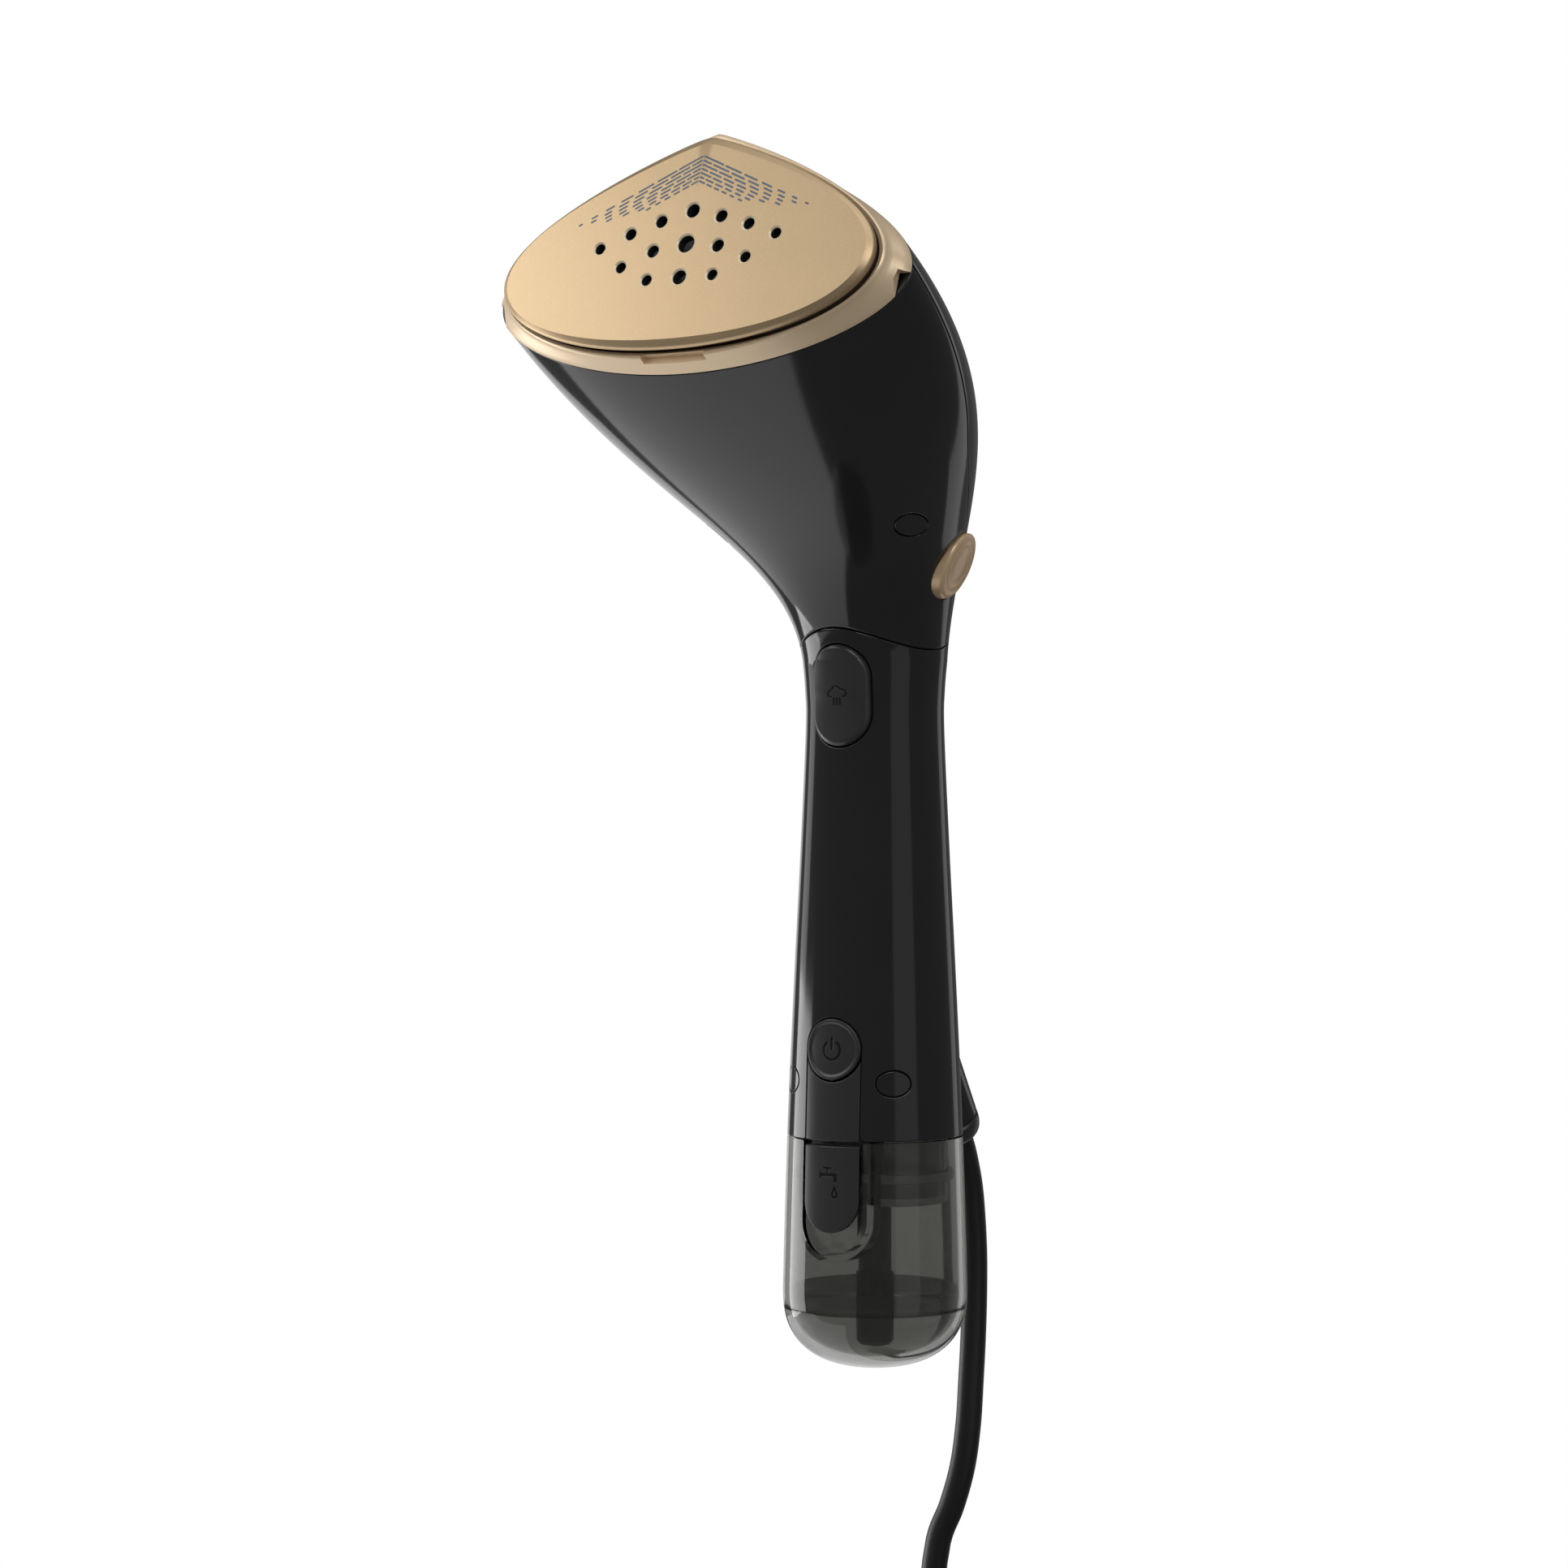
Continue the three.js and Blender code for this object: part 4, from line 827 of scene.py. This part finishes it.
strap = put("cord_strap", tie(), "satin_black", "handle", replaces=["cord_tie"], sharp=40)
PIN_PROFILE = [(0, 0), (2.4, 0), (2.4, -15.5), (2.1, -18), (1.4, -18.8), (0, -19)]
PIN_REACH = 9.5
pins = [
    lathe(f"plug_contact_{word}", PIN_PROFILE, "pin_metal", "handle", sides=40, replaces=[f"plug_pin_{word}"],
          origin=(PLUG_X, PLUG_Y + side * PIN_REACH, PLUG_FACE))
    for side, word in ((-1, "near"), (1, "far"))
]


# ---- Casing ----
AROUND = np.linspace(0, 1, 169)
FRONT = 0.5
BOTTOM_UP = HANDLE_BOTTOM - NECK_Z
HEAD_ROWS = np.linspace(0.0001, 1, 90)
HANDLE_ROWS = np.concatenate([np.linspace(BOTTOM_UP, 0, 70), np.linspace(0.012, 0.75, 60)])
BUTTON_GAP = 0.2


def turns_near(middle, reach, count):
    return middle + np.linspace(-reach, reach, count)


def lowest(*fields):
    return np.minimum.reduce(fields)


def plug_room(p, place):
    return lowest(oval_distance(p, place, 1), oval_distance(p, place, -1)) - HALF_GAP


def head_room(p):
    return lowest(above_seam(p) - HALF_GAP, below_bezel(p), button_distance(p))


def head_front(p, up, turn):
    return lowest(head_room(p), -behind_split(p, up, turn) - HALF_GAP, plug_room(p, HEAD_PLUG))


def head_rear(p, up, turn):
    return lowest(head_room(p), behind_split(p, up, turn) - HALF_GAP)


def power_distance(p):
    return in_front(p, np.hypot(p[..., 0], p[..., 2] - POWER["z"]) - POWER["r"])


def strip_distance(p):
    return in_front(p, np.maximum(np.abs(p[..., 0]) - INLAY_WIDTH / 2, p[..., 2] - POWER["z"]))


def trigger_distance(p):
    return slot_distance(p, TRIGGER["z"], TRIGGER["width"], TRIGGER["height"])


def handle_room(p):
    return lowest(-above_seam(p) - HALF_GAP, p[..., 2] - HANDLE_BOTTOM)


def handle_front(p, up, turn):
    buttons = lowest(trigger_distance(p), power_distance(p)) - BUTTON_GAP
    fixed = lowest(strip_distance(p), plug_room(p, HANDLE_PLUG))
    return lowest(handle_room(p), REAR_SPLIT_Y - p[..., 1] - HALF_GAP, buttons, fixed)


def handle_rear(p, up, turn):
    return lowest(handle_room(p), p[..., 1] - REAR_SPLIT_Y - HALF_GAP)


def inlay(p, up, turn):
    return lowest(-strip_distance(p) - HALF_GAP, power_distance(p) - 0.5, p[..., 2] - HANDLE_BOTTOM)


def trigger_face(p, up, turn):
    return -trigger_distance(p) - HALF_GAP


def power_face(p, up, turn):
    return -power_distance(p) - HALF_GAP


def steam_icon(p):
    """A small cloud with three wisps of steam under it."""
    x, y = p[..., 0], p[..., 2] - TRIGGER["z"] + 0.4
    cloud = arc(-1.9, 0.9, 0.95, 275, 100) + arc(-0.3, 1.9, 1.25, 165, 25) + arc(1.75, 1.1, 1.05, 100, -85)
    wisps = [[(s, -2.3), (s, -0.4)] for s in (-0.95, 0, 0.95)]
    return stroke_distance(x, y, [cloud, *wisps]) - 0.3


def power_icon(p):
    x, y = p[..., 0], p[..., 2] - POWER["z"]
    return stroke_distance(x, y, [arc(0, -0.3, 2.7, 128, 412, 22), [(0, 0.1), (0, 3.3)]]) - 0.45


def tap_icon(p):
    """A water tap over a drop."""
    x, y = p[..., 0], p[..., 2] + 83.6
    spouts = [[(-2.9, 0.3), (2.3, 0.3), (2.3, -1.7)], [(-2.9, -0.1), (1.9, -0.1), (1.9, -1.7)]]
    tap = [*spouts, [(-3, 1), (-3, -0.8)], [(-0.6, 0.5), (-0.6, 2)], [(-1.8, 2.1), (0.7, 2.1)]]
    drop = arc(1.9, -5.6, 0.8, 155, 385, 14) + [(1.9, -3.4)]
    return stroke_distance(x, y, [*tap, drop + [drop[0]]]) - 0.32


def power_dish(reach):
    return 0.45 * smooth(0.6, 1.7, reach)


sheet_piece("head_front_casing", HEAD_ROWS, AROUND, head_front, "gloss_black", "head",
            replaces=["head_front_shell"])
sheet_piece("head_rear_casing", HEAD_ROWS, AROUND, head_rear, "gloss_black", "head",
            replaces=["head_rear_cover"])
sheet_piece("handle_front_casing", HANDLE_ROWS, AROUND, handle_front, "gloss_black", "handle",
            straight="middle", replaces=["handle_front_shell"])
sheet_piece("handle_rear_casing", HANDLE_ROWS, AROUND, handle_rear, "gloss_black", "handle",
            replaces=["handle_rear_cover"])
STRIP_ROWS = np.linspace(BOTTOM_UP, POWER["z"] - NECK_Z, 40)
sheet_piece("front_strip", STRIP_ROWS, turns_near(FRONT, 0.135, 90), inlay, "satin_black", "handle",
            replaces=["front_inlay"])
TRIGGER_LOW = TRIGGER["z"] - TRIGGER["height"] / 2 - 0.5 - NECK_Z
TRIGGER_ROWS = np.concatenate([np.linspace(TRIGGER_LOW, 0, 110), np.linspace(0.0005, 0.13, 26)])
sheet_piece("steam_trigger", TRIGGER_ROWS, turns_near(FRONT, 0.11, 110), trigger_face, "satin_black",
            "trigger", straight="all", edge=1.9, proud=TRIGGER["proud"], groove=steam_icon,
            replaces=["trigger"])
POWER_ROWS = POWER["z"] - NECK_Z + np.linspace(-9.2, 9.2, 110)
sheet_piece("power_cap", POWER_ROWS, turns_near(FRONT, 0.09, 100), power_face, "satin_black", "power_button",
            straight="all", edge=0.5, proud=POWER["proud"], groove=power_icon, dish=power_dish,
            replaces=["power_button"])


def screw_plug(owner, place, rows, side, word):
    """An oval cap flush in the casing, over a screw."""
    def face(p, up, turn):
        return -oval_distance(p, place, side) - HALF_GAP

    middle = FRONT - side * PLUG_ANGLE / (2 * math.pi)
    sheet_piece(f"{owner}_cap_{word}", rows, turns_near(middle, 0.075, 50), face, "gloss_black", owner,
                edge=0.25, replaces=[f"{owner}_plug_{word}"])


HANDLE_PLUG_ROWS = HANDLE_PLUG["z"] - NECK_Z + np.linspace(-5, 5, 40)
for side, word in ((-1, "left"), (1, "right")):
    screw_plug("head", HEAD_PLUG, np.linspace(0.12, 0.62, 90), side, word)
    screw_plug("handle", HANDLE_PLUG, HANDLE_PLUG_ROWS, side, word)


def spout():
    """The short duct behind the handle that the lead leaves by."""
    bore = CORD_R + 1.4
    duct = [(0, -46), (OUTLET_R + 1.6, -46), (OUTLET_R + 0.05, -0.6), (OUTLET_R - 0.5, 0), (0, 0)]
    heights = np.linspace(-125, 60, 40)
    casing = [(0, heights[0])] + [(float(radius_at(z)) - 0.4, z) for z in heights] + [(0, heights[-1])]
    shape = boolean(revolve(duct, 72, OUTLET_AXIS, OUTLET_END), revolve(casing, 96))
    shape = boolean(shape, revolve([(0, -60), (bore, -60), (bore, 5), (0, 5)], 48, OUTLET_AXIS, OUTLET_END))
    over_tank = [(-60, -140), (60, -140), (60, HANDLE_BOTTOM), (-60, HANDLE_BOTTOM)]
    return boolean(shape, prism(over_tank, -60, 25.8))


put("cord_spout", spout(), "gloss_black", "handle", sharp=35)


# ---- Release button and springs ----
def release_button():
    """A round cap cut off at the slant of the head's side, with rings turned in its face."""
    sides, radius = 96, BUTTON["r"]
    relief = [(0, 0), (2, 0), (4.4, 0.02), (4.9, -0.22), (5.3, -0.22), (5.7, 0.05), (6.6, 0.05), (7.0, -0.3),
              (7.4, -0.3), (7.8, 0.0), (8.4, -0.08), (8.9, -0.35), (9.25, -0.8), (radius, -1.4)]
    points, rings = [], []
    for r, lift in [*relief, (radius, None), (0, None)]:
        ring = []
        for dy, dz in wheel(r, sides) if r else [(0, 0)]:
            slant = (BUTTON["proud"] - BUTTON_FACE[1] * dy - BUTTON_FACE[2] * dz) / BUTTON_FACE[0]
            x = BUTTON["base"] if lift is None else BUTTON["crown"] + slant + lift
            ring.append((x, BUTTON["y"] + dy, BUTTON["z"] + dz))
        rings.append(add_ring(points, ring))
    return outward((points, stitch(rings)))


put("release_cap", release_button(), "button_gold", "release_button", replaces=["release_button"], sharp=50)


def coil(name, node, body, start, end, radius, turns):
    """A helical spring of round wire, wound from its start to its far end."""
    start, end = np.array(start, float), np.array(end, float)
    length = np.linalg.norm(end - start)
    axis = (end - start) / length
    side = np.array([0, 0, 1.0])
    other = np.cross(axis, side)
    wire, sides, steps = 0.35, 10, 28 * turns
    points, rings = [], []
    for i in range(steps + 1):
        share = i / steps
        a = 2 * math.pi * turns * share
        spoke = math.cos(a) * side + math.sin(a) * other
        centre = start + axis * (wire + (length - 2 * wire) * share) + spoke * radius
        rings.append(add_ring(points, [centre + u * spoke + v * axis for u, v in wheel(wire, sides)]))
    ends = [add_ring(points, [np.mean([points[i] for i in ring], axis=0)]) for ring in (rings[0], rings[-1])]
    solid = outward((points, stitch([ends[0], *rings, ends[1]])))
    spring = put(name, solid, "steel", body, replaces=[node], sharp=60)
    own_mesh(spring)


TRIGGER_SPRING_Z = TRIGGER["z"] - 10
coil("release_spring_coil", "button_spring", "head", (14.2, BUTTON["y"], BUTTON["z"]),
     (18.2, BUTTON["y"], BUTTON["z"]), 4.2, 2)
coil("trigger_spring_coil", "trigger_spring", "handle", (0, -8, TRIGGER_SPRING_Z),
     (0, -15.3, TRIGGER_SPRING_Z), 2.6, 3)


# ---- Steam plate, gasket and bezel, in the plate's frame ----
ALL_HOLES = [(side * x, y, d / 2) for x, y, d in HOLES for side in ((1,) if x == 0 else (-1, 1))]
HOLE_SIDES = 40
CHAMFER = 0.5
PLATE_SIDES = 240


def plate_ring(inset, height):
    rim = outline(shrunk(PLATE_EDGE, inset), np.arange(PLATE_SIDES) / PLATE_SIDES, PLATE_TIP_ROUND)
    return [(x, y, height) for x, y in rim.tolist()]


def filled(rim, hole_grow, height):
    """A flat face inside an outline with the plate's holes left open. Returns its points and triangles."""
    rim = np.array(rim)
    coords = [Vector(p) for p in rim[:, :2].tolist()]
    loops = [list(range(len(rim)))]
    for x, y, r in ALL_HOLES:
        loops.append(add_ring(coords, [Vector(p) for p in wheel(r + hole_grow, HOLE_SIDES, (x, y))]))
    edges = [(loop[i], loop[(i + 1) % len(loop)]) for loop in loops for i in range(len(loop))]
    found, _, tris, *_ = delaunay_2d_cdt(coords, edges, [], 0, 1e-7)
    inside = []
    for tri in tris:
        x, y = (sum(found[i][k] for i in tri) / 3 for k in (0, 1))
        open_here = any(math.hypot(x - a, y - b) < r + hole_grow - 0.01 for a, b, r in ALL_HOLES)
        if not open_here and in_outline(x, y, rim):
            inside.append(tuple(tri))
    return [(p[0], p[1], height) for p in found], inside


def in_outline(x, y, rim):
    after = np.roll(rim, -1, axis=0)
    straddles = (rim[:, 1] > y) != (after[:, 1] > y)
    with np.errstate(divide="ignore", invalid="ignore"):
        cross = rim[:, 0] + (y - rim[:, 1]) / (after[:, 1] - rim[:, 1]) * (after[:, 0] - rim[:, 0])
    return bool((straddles & (x < cross)).sum() % 2)


def plate():
    """The soleplate: a bevelled edge, and a chamfered hole right through at each steam outlet."""
    bevel = [(2.1, 0), (0.6, -0.85), (0.32, -1.08), (0.12, -1.4), (0.02, -1.75)]
    profile = [*bevel, (0, -2.1), (0.1, -2.5), (0.6, -3.2)]
    points, faces = filled(plate_ring(*profile[0]), CHAMFER, profile[0][1])
    low, low_faces = filled(plate_ring(*profile[-1]), 0, profile[-1][1])
    rings = [list(range(PLATE_SIDES))]
    rings += [add_ring(points, plate_ring(*each)) for each in profile[1:-1]]
    base = add_ring(points, low)[0]
    rings.append(list(range(base, base + PLATE_SIDES)))
    faces += stitch(rings)
    faces += [tuple(base + i for i in reversed(f)) for f in low_faces]
    for number, (x, y, r) in enumerate(ALL_HOLES):
        first = PLATE_SIDES + number * HOLE_SIDES
        hole = [list(range(first, first + HOLE_SIDES))]
        for grow, height in ((0.08, -0.32), (0, -CHAMFER)):
            hole.append(add_ring(points, [(u, v, height) for u, v in wheel(r + grow, HOLE_SIDES, (x, y))]))
        hole.append([base + i for i in hole[0]])
        faces += [tuple(reversed(f)) for f in stitch(hole)]
    return points, faces


def fix_winding(solid):
    """Turns every face of a closed mesh the same way round, and outwards."""
    made = bmesh.new()
    verts = [made.verts.new(p) for p in solid[0]]
    for face in solid[1]:
        made.faces.new([verts[i] for i in face])
    bmesh.ops.recalc_face_normals(made, faces=made.faces)
    if made.calc_volume(signed=True) < 0:
        bmesh.ops.reverse_faces(made, faces=made.faces)
    made.verts.index_update()
    found = [tuple(v.index for v in f.verts) for f in made.faces]
    made.free()
    return solid[0], found


def hole_part(corners):
    """1 for a hole's chamfer (painted highlight), 2 for its bore (painted shade), and 0 elsewhere."""
    x, y = corners[:, 0].mean(), corners[:, 1].mean()
    at_hole = any(math.hypot(x - a, y - b) < r + CHAMFER + 0.05 for a, b, r in ALL_HOLES)
    if not at_hole or corners[:, 2].max() - corners[:, 2].min() < 1e-3:
        return 0
    return 1 if corners[:, 2].min() > -CHAMFER - 0.01 else 2


soleplate = fix_winding(plate())
corners_of = [np.array([soleplate[0][i] for i in face]) for face in soleplate[1]]
# The holes' chamfers carry a painted highlight and their bores painted shade.
put("soleplate", to_plate(soleplate), "plate_gold", "head", replaces=["steam_plate"], sharp=24,
    marked=(["hole_edge_painted_highlight", "painted_bore_shade_and_mark_black"], [hole_part(corners) for corners in corners_of]),
    flat=[len(set(np.round(corners[:, 2], 4))) == 1 for corners in corners_of])

CHEVRON_FALL = math.atan2(-19.2, 39.5)
CHEVRON = {"top": 26.8, "rows": 7, "pitch": 1.28, "start": 0.4, "reach": 44, "shorter": 4.6}
DASH = {"length": 7.6, "shorter": 0.95, "least": 0.35, "half": 0.28, "thick": 0.03}
DASH_GAP = {"least": 0.5, "growth": 0.07}


def dash(side, row, along, length):
    """One printed dash: a capsule on a row of the chevron, some way out from the middle."""
    half = DASH["half"]
    capsule = arc(along + length, 0, half, -90, 90, 6) + arc(along, 0, half, 90, 270, 6)
    cos, sin = math.cos(CHEVRON_FALL), math.sin(CHEVRON_FALL)
    top = CHEVRON["top"] - CHEVRON["pitch"] * row
    shape = [(side * (u * cos - v * sin), top + u * sin + v * cos) for u, v in capsule]
    return outward(prism(shape, 0, DASH["thick"], "z"))


def dashes():
    """A printed chevron of dashes that shorten downwards and towards its ends."""
    points, faces = [], []
    for side in (-1, 1):
        for row in range(CHEVRON["rows"]):
            along, reach = CHEVRON["start"], CHEVRON["reach"] - CHEVRON["shorter"] * row
            share = 1 if row % 2 == 0 else 0.45
            while along < reach:
                length = share * (DASH["length"] - DASH["shorter"] * row) * (1 - along / 47) ** 1.1
                length = max(DASH["least"], length)
                share = 1
                mark = dash(side, row, along, length)
                first = add_ring(points, mark[0].tolist())[0]
                faces += [tuple(first + i for i in face) for face in mark[1]]
                along += length + 2 * DASH["half"] + DASH_GAP["least"] + DASH_GAP["growth"] * along
    return to_plate((points, faces))


put("plate_dashes", dashes(), "print_blue", "head", slot="plate_gold", sharp=30)

GASKET_RINGS = [(0.8, -5.8), (0.8, -3.7), (1.1, -3.5), (4.5, -3.5), (4.5, -5.8)]
gasket = to_plate(sweep_outline([(shrunk(PLATE_EDGE, inset), height) for inset, height in GASKET_RINGS]))
put("plate_seal", outward(gasket), "gasket_brown", "head", replaces=["plate_gasket"], sharp=50)


def bezel():
    """The gold frame round the plate: a flared skirt with a rounded lip, a notch and two latch slots."""
    lip = shrunk(PLATE_EDGE, -1.8)
    skirt = [(0, -BEZEL_BACK), (0.02, -BEZEL_BACK + 0.4), (0.35, -8.7), (0.75, -6.5)]
    rounded = [(-1.9, -5.5), (-1.75, -4.8), (-1.4, -4.25), (-0.95, -4), (-0.5, -4.15), (0.5, -4.7)]
    profile = [(between(RIM_EDGE, lip, share), height) for share, height in skirt]
    profile += [(shrunk(PLATE_EDGE, inset), height) for inset, height in [*rounded, (0.5, -BEZEL_BACK)]]
    notch = [(-13, -50), (13, -50), (10, -30.9), (-10, -30.9)]
    solid = boolean(sweep_outline(profile), prism(notch, -6.4, -2.4, "z"))
    for side in (-1, 1):
        slot = [(side * 63.5, -16), (side * 80, -16), (side * 80, -9), (side * 63.5, -9)]
        solid = boolean(solid, prism(slot, -11.5, -7.9, "z"))
    return to_plate(solid)


put("plate_bezel", bezel(), "bezel_gold", "head", replaces=["bezel"], sharp=38)


# ---- Water tank ----
SEAM_HALF = 0.12


def tank_lathe(inset, low, high):
    rim = [(float(tank_radius(z)) - inset, z) for z in np.linspace(low, high, 24)]
    return revolve([(0, low), *rim, (0, high)], 128)


def tank_shell():
    """The smoked wall, with the finger scoop that the flap lies in and the filling hole."""
    low = TANK_WELD + SEAM_HALF
    shell = boolean(tank_lathe(0, low, TANK_TOP), tank_lathe(TANK_WALL, TANK_WELD - 5, TANK_TOP + 5))
    boss = tongue(TANK_TOP, POCKET["bottom"] - TANK_WALL, POCKET["width"] + 2 * TANK_WALL)
    within = tank_lathe(0.01, low + 0.01, TANK_TOP - 0.01)
    shell = boolean(shell, boolean(prism(boss, -60, POCKET["floor"] + 2), within, "INTERSECT"), "UNION")
    pocket = tongue(TANK_TOP + 5, POCKET["bottom"], POCKET["width"])
    shell = boolean(shell, prism(pocket, -60, POCKET["floor"]))
    hole = revolve([(0, -60), (FILL["r"], -60), (FILL["r"], 0), (0, 0)], 48, (0, 1, 0), (0, 0, FILL["z"]))
    return boolean(shell, hole)


def bowl_profile():
    """The tank's welded base, from the middle of its outside round to the middle of its inside."""
    shares = (np.linspace(0, 1, 30) ** 0.7)[:-1]
    top = TANK_WELD - SEAM_HALF
    heights = top + (TANK_BOTTOM - top) * shares
    rows = [(float(tank_radius(z)), float(z), share) for z, share in zip(heights, shares)]
    outer = [(r, z) for r, z, share in rows]
    inner = [(r - TANK_WALL, z + TANK_WALL * share) for r, z, share in rows if r > TANK_WALL + 1]
    return [(0, TANK_BOTTOM), *outer[::-1], *inner, (0, TANK_BOTTOM + TANK_WALL)]


LIP_R = float(tank_radius(-120)) - TANK_WALL
LIP_PROFILE = [(LIP_R - 0.9, -124.6), (LIP_R - 0.2, -124.6), (LIP_R - 0.2, -118.6), (LIP_R - 0.5, -118.3),
               (LIP_R - 0.9, -118.6), (LIP_R - 0.9, -124.6)]
put("tank_wall", tank_shell(), "smoke", "tank", replaces=["tank_shell"], sharp=28)
lathe("tank_bowl", bowl_profile(), "smoke", "tank", sides=128, replaces=["tank_base"])
lathe("tank_lip", LIP_PROFILE, "smoke", "tank", sides=128)


def flap_face(p, up, turn):
    return -tongue_distance(p, FLAP["top"], FLAP["bottom"], FLAP["width"])


FLAP_ROWS = np.linspace(FLAP["bottom"] - 0.4, FLAP["top"] + 0.3, 130)
sheet_piece("filler_flap", FLAP_ROWS, turns_near(0, 0.075, 90), flap_face, "satin_black", "fill_flap",
            surface=tank_skin, wall=FLAP["thick"], groove=tap_icon, replaces=["fill_flap"])
STOPPER_PROFILE = [(0, -18), (4.8, -18), (5.2, -18.5), (5.5, -22), (5.6, -24.2), (0, -24.2)]
lathe("filler_stopper", STOPPER_PROFILE, "silicone", "fill_flap", axis=(0, 1, 0), origin=(0, 0, FILL["z"]),
      slot="satin_black")


# ---- Floor, light and background ----
scene = bpy.context.scene
scene.view_settings.view_transform = "Standard"
RIGHT = np.array([math.cos(CAMERA_TURN), math.sin(CAMERA_TURN), 0])
AWAY = np.array([-math.sin(CAMERA_TURN), math.cos(CAMERA_TURN), 0])


def panel(name, place, target, width, height, power):
    """A soft rectangular light. Places are metres to the camera's right, away from it, and up."""
    place, target = (Vector(RIGHT * right + AWAY * away + [0, 0, up]) for right, away, up in (place, target))
    lamp = bpy.data.lights.new(name, "AREA")
    lamp.shape = "RECTANGLE"
    lamp.size = width
    lamp.size_y = height
    lamp.energy = power
    thing = link(name, lamp)
    thing.location = place
    thing.rotation_euler = (place - target).to_track_quat("Z", "Y").to_euler()
    thing.visible_camera = False
    thing.visible_transmission = False


MIDDLE = (0, 0, 0)
ABOVE_MIDDLE = (0, 0, 0.1)
panel("plate_key", (-0.68, -0.26, 0.6), (-0.03, -0.05, 0.15), 0.75, 0.75, 1.35)
panel("plate_left", (-0.36, -0.06, 0.3), (-0.06, -0.05, 0.17), 0.2, 0.2, 0.24)
panel("lower_left", (-0.405, 0.45, -0.44), (-0.405, 0.45, 1), 1.0, 1.3, 3.4)
panel("left_rim", (-0.85, 0.65, 0.3), (0, 0, 0.3), 0.35, 0.7, 0.8)
panel("tank_rim", (-0.85, 0.42, -0.24), (0, 0, -0.24), 0.6, 0.4, 2.6)
panel("front", (0.25, -1.15, 0.8), ABOVE_MIDDLE, 0.6, 0.6, 4)
panel("right_soft", (0.85, -1.0, 0.1), MIDDLE, 0.75, 1.3, 0.9)
panel("right_rim", (0.85, 0.8, 0.0), MIDDLE, 0.3, 1.3, 0.6)
panel("back", (-0.25, 1.3, 0.05), (-0.25, 0, 0.05), 0.8, 0.8, 1.6)
panel("overhead", (0.1, -0.2, 1.4), ABOVE_MIDDLE, 1.2, 1.2, 5)

FLOOR = {"r": 1.25, "z": -0.475, "sides": 64, "glow": 0.7}
floor_paint = finish("floor_paint", (0.8, 0.8, 0.8), 0.7, shade=0.02, patch=0.2, grain=0.002)
floor_paint.inputs["Emission Color"].default_value = (1, 1, 1, 1)
floor_paint.inputs["Emission Strength"].default_value = FLOOR["glow"]
floor_ring = [(x, y, FLOOR["z"]) for x, y in wheel(FLOOR["r"], FLOOR["sides"])]
floor = link("floor", bare_mesh("floor", floor_ring, [range(FLOOR["sides"])]))
floor.data.materials.append(FINISH["floor_paint"])
floor.visible_glossy = False
floor.visible_diffuse = False

world = bpy.data.worlds.new("studio")
world.use_nodes = True
scene.world = world
sky = world.node_tree
backdrop = sky.nodes["Background"]
backdrop.inputs["Color"].default_value = (1, 1, 1, 1)
path = add_node(sky, "LightPath")
seen = add_node(sky, "Math")
seen.operation = "MAXIMUM"
sky.links.new(path.outputs["Is Camera Ray"], seen.inputs[0])
sky.links.new(path.outputs["Is Transmission Ray"], seen.inputs[1])
level = add_node(sky, "MapRange", To_Min=0.12, To_Max=1.0)
sky.links.new(seen.outputs["Value"], level.inputs["Value"])
sky.links.new(level.outputs["Result"], backdrop.inputs["Strength"])

for hanging in (mains_lead, plug, strap, *pins):
    hanging.visible_glossy = False
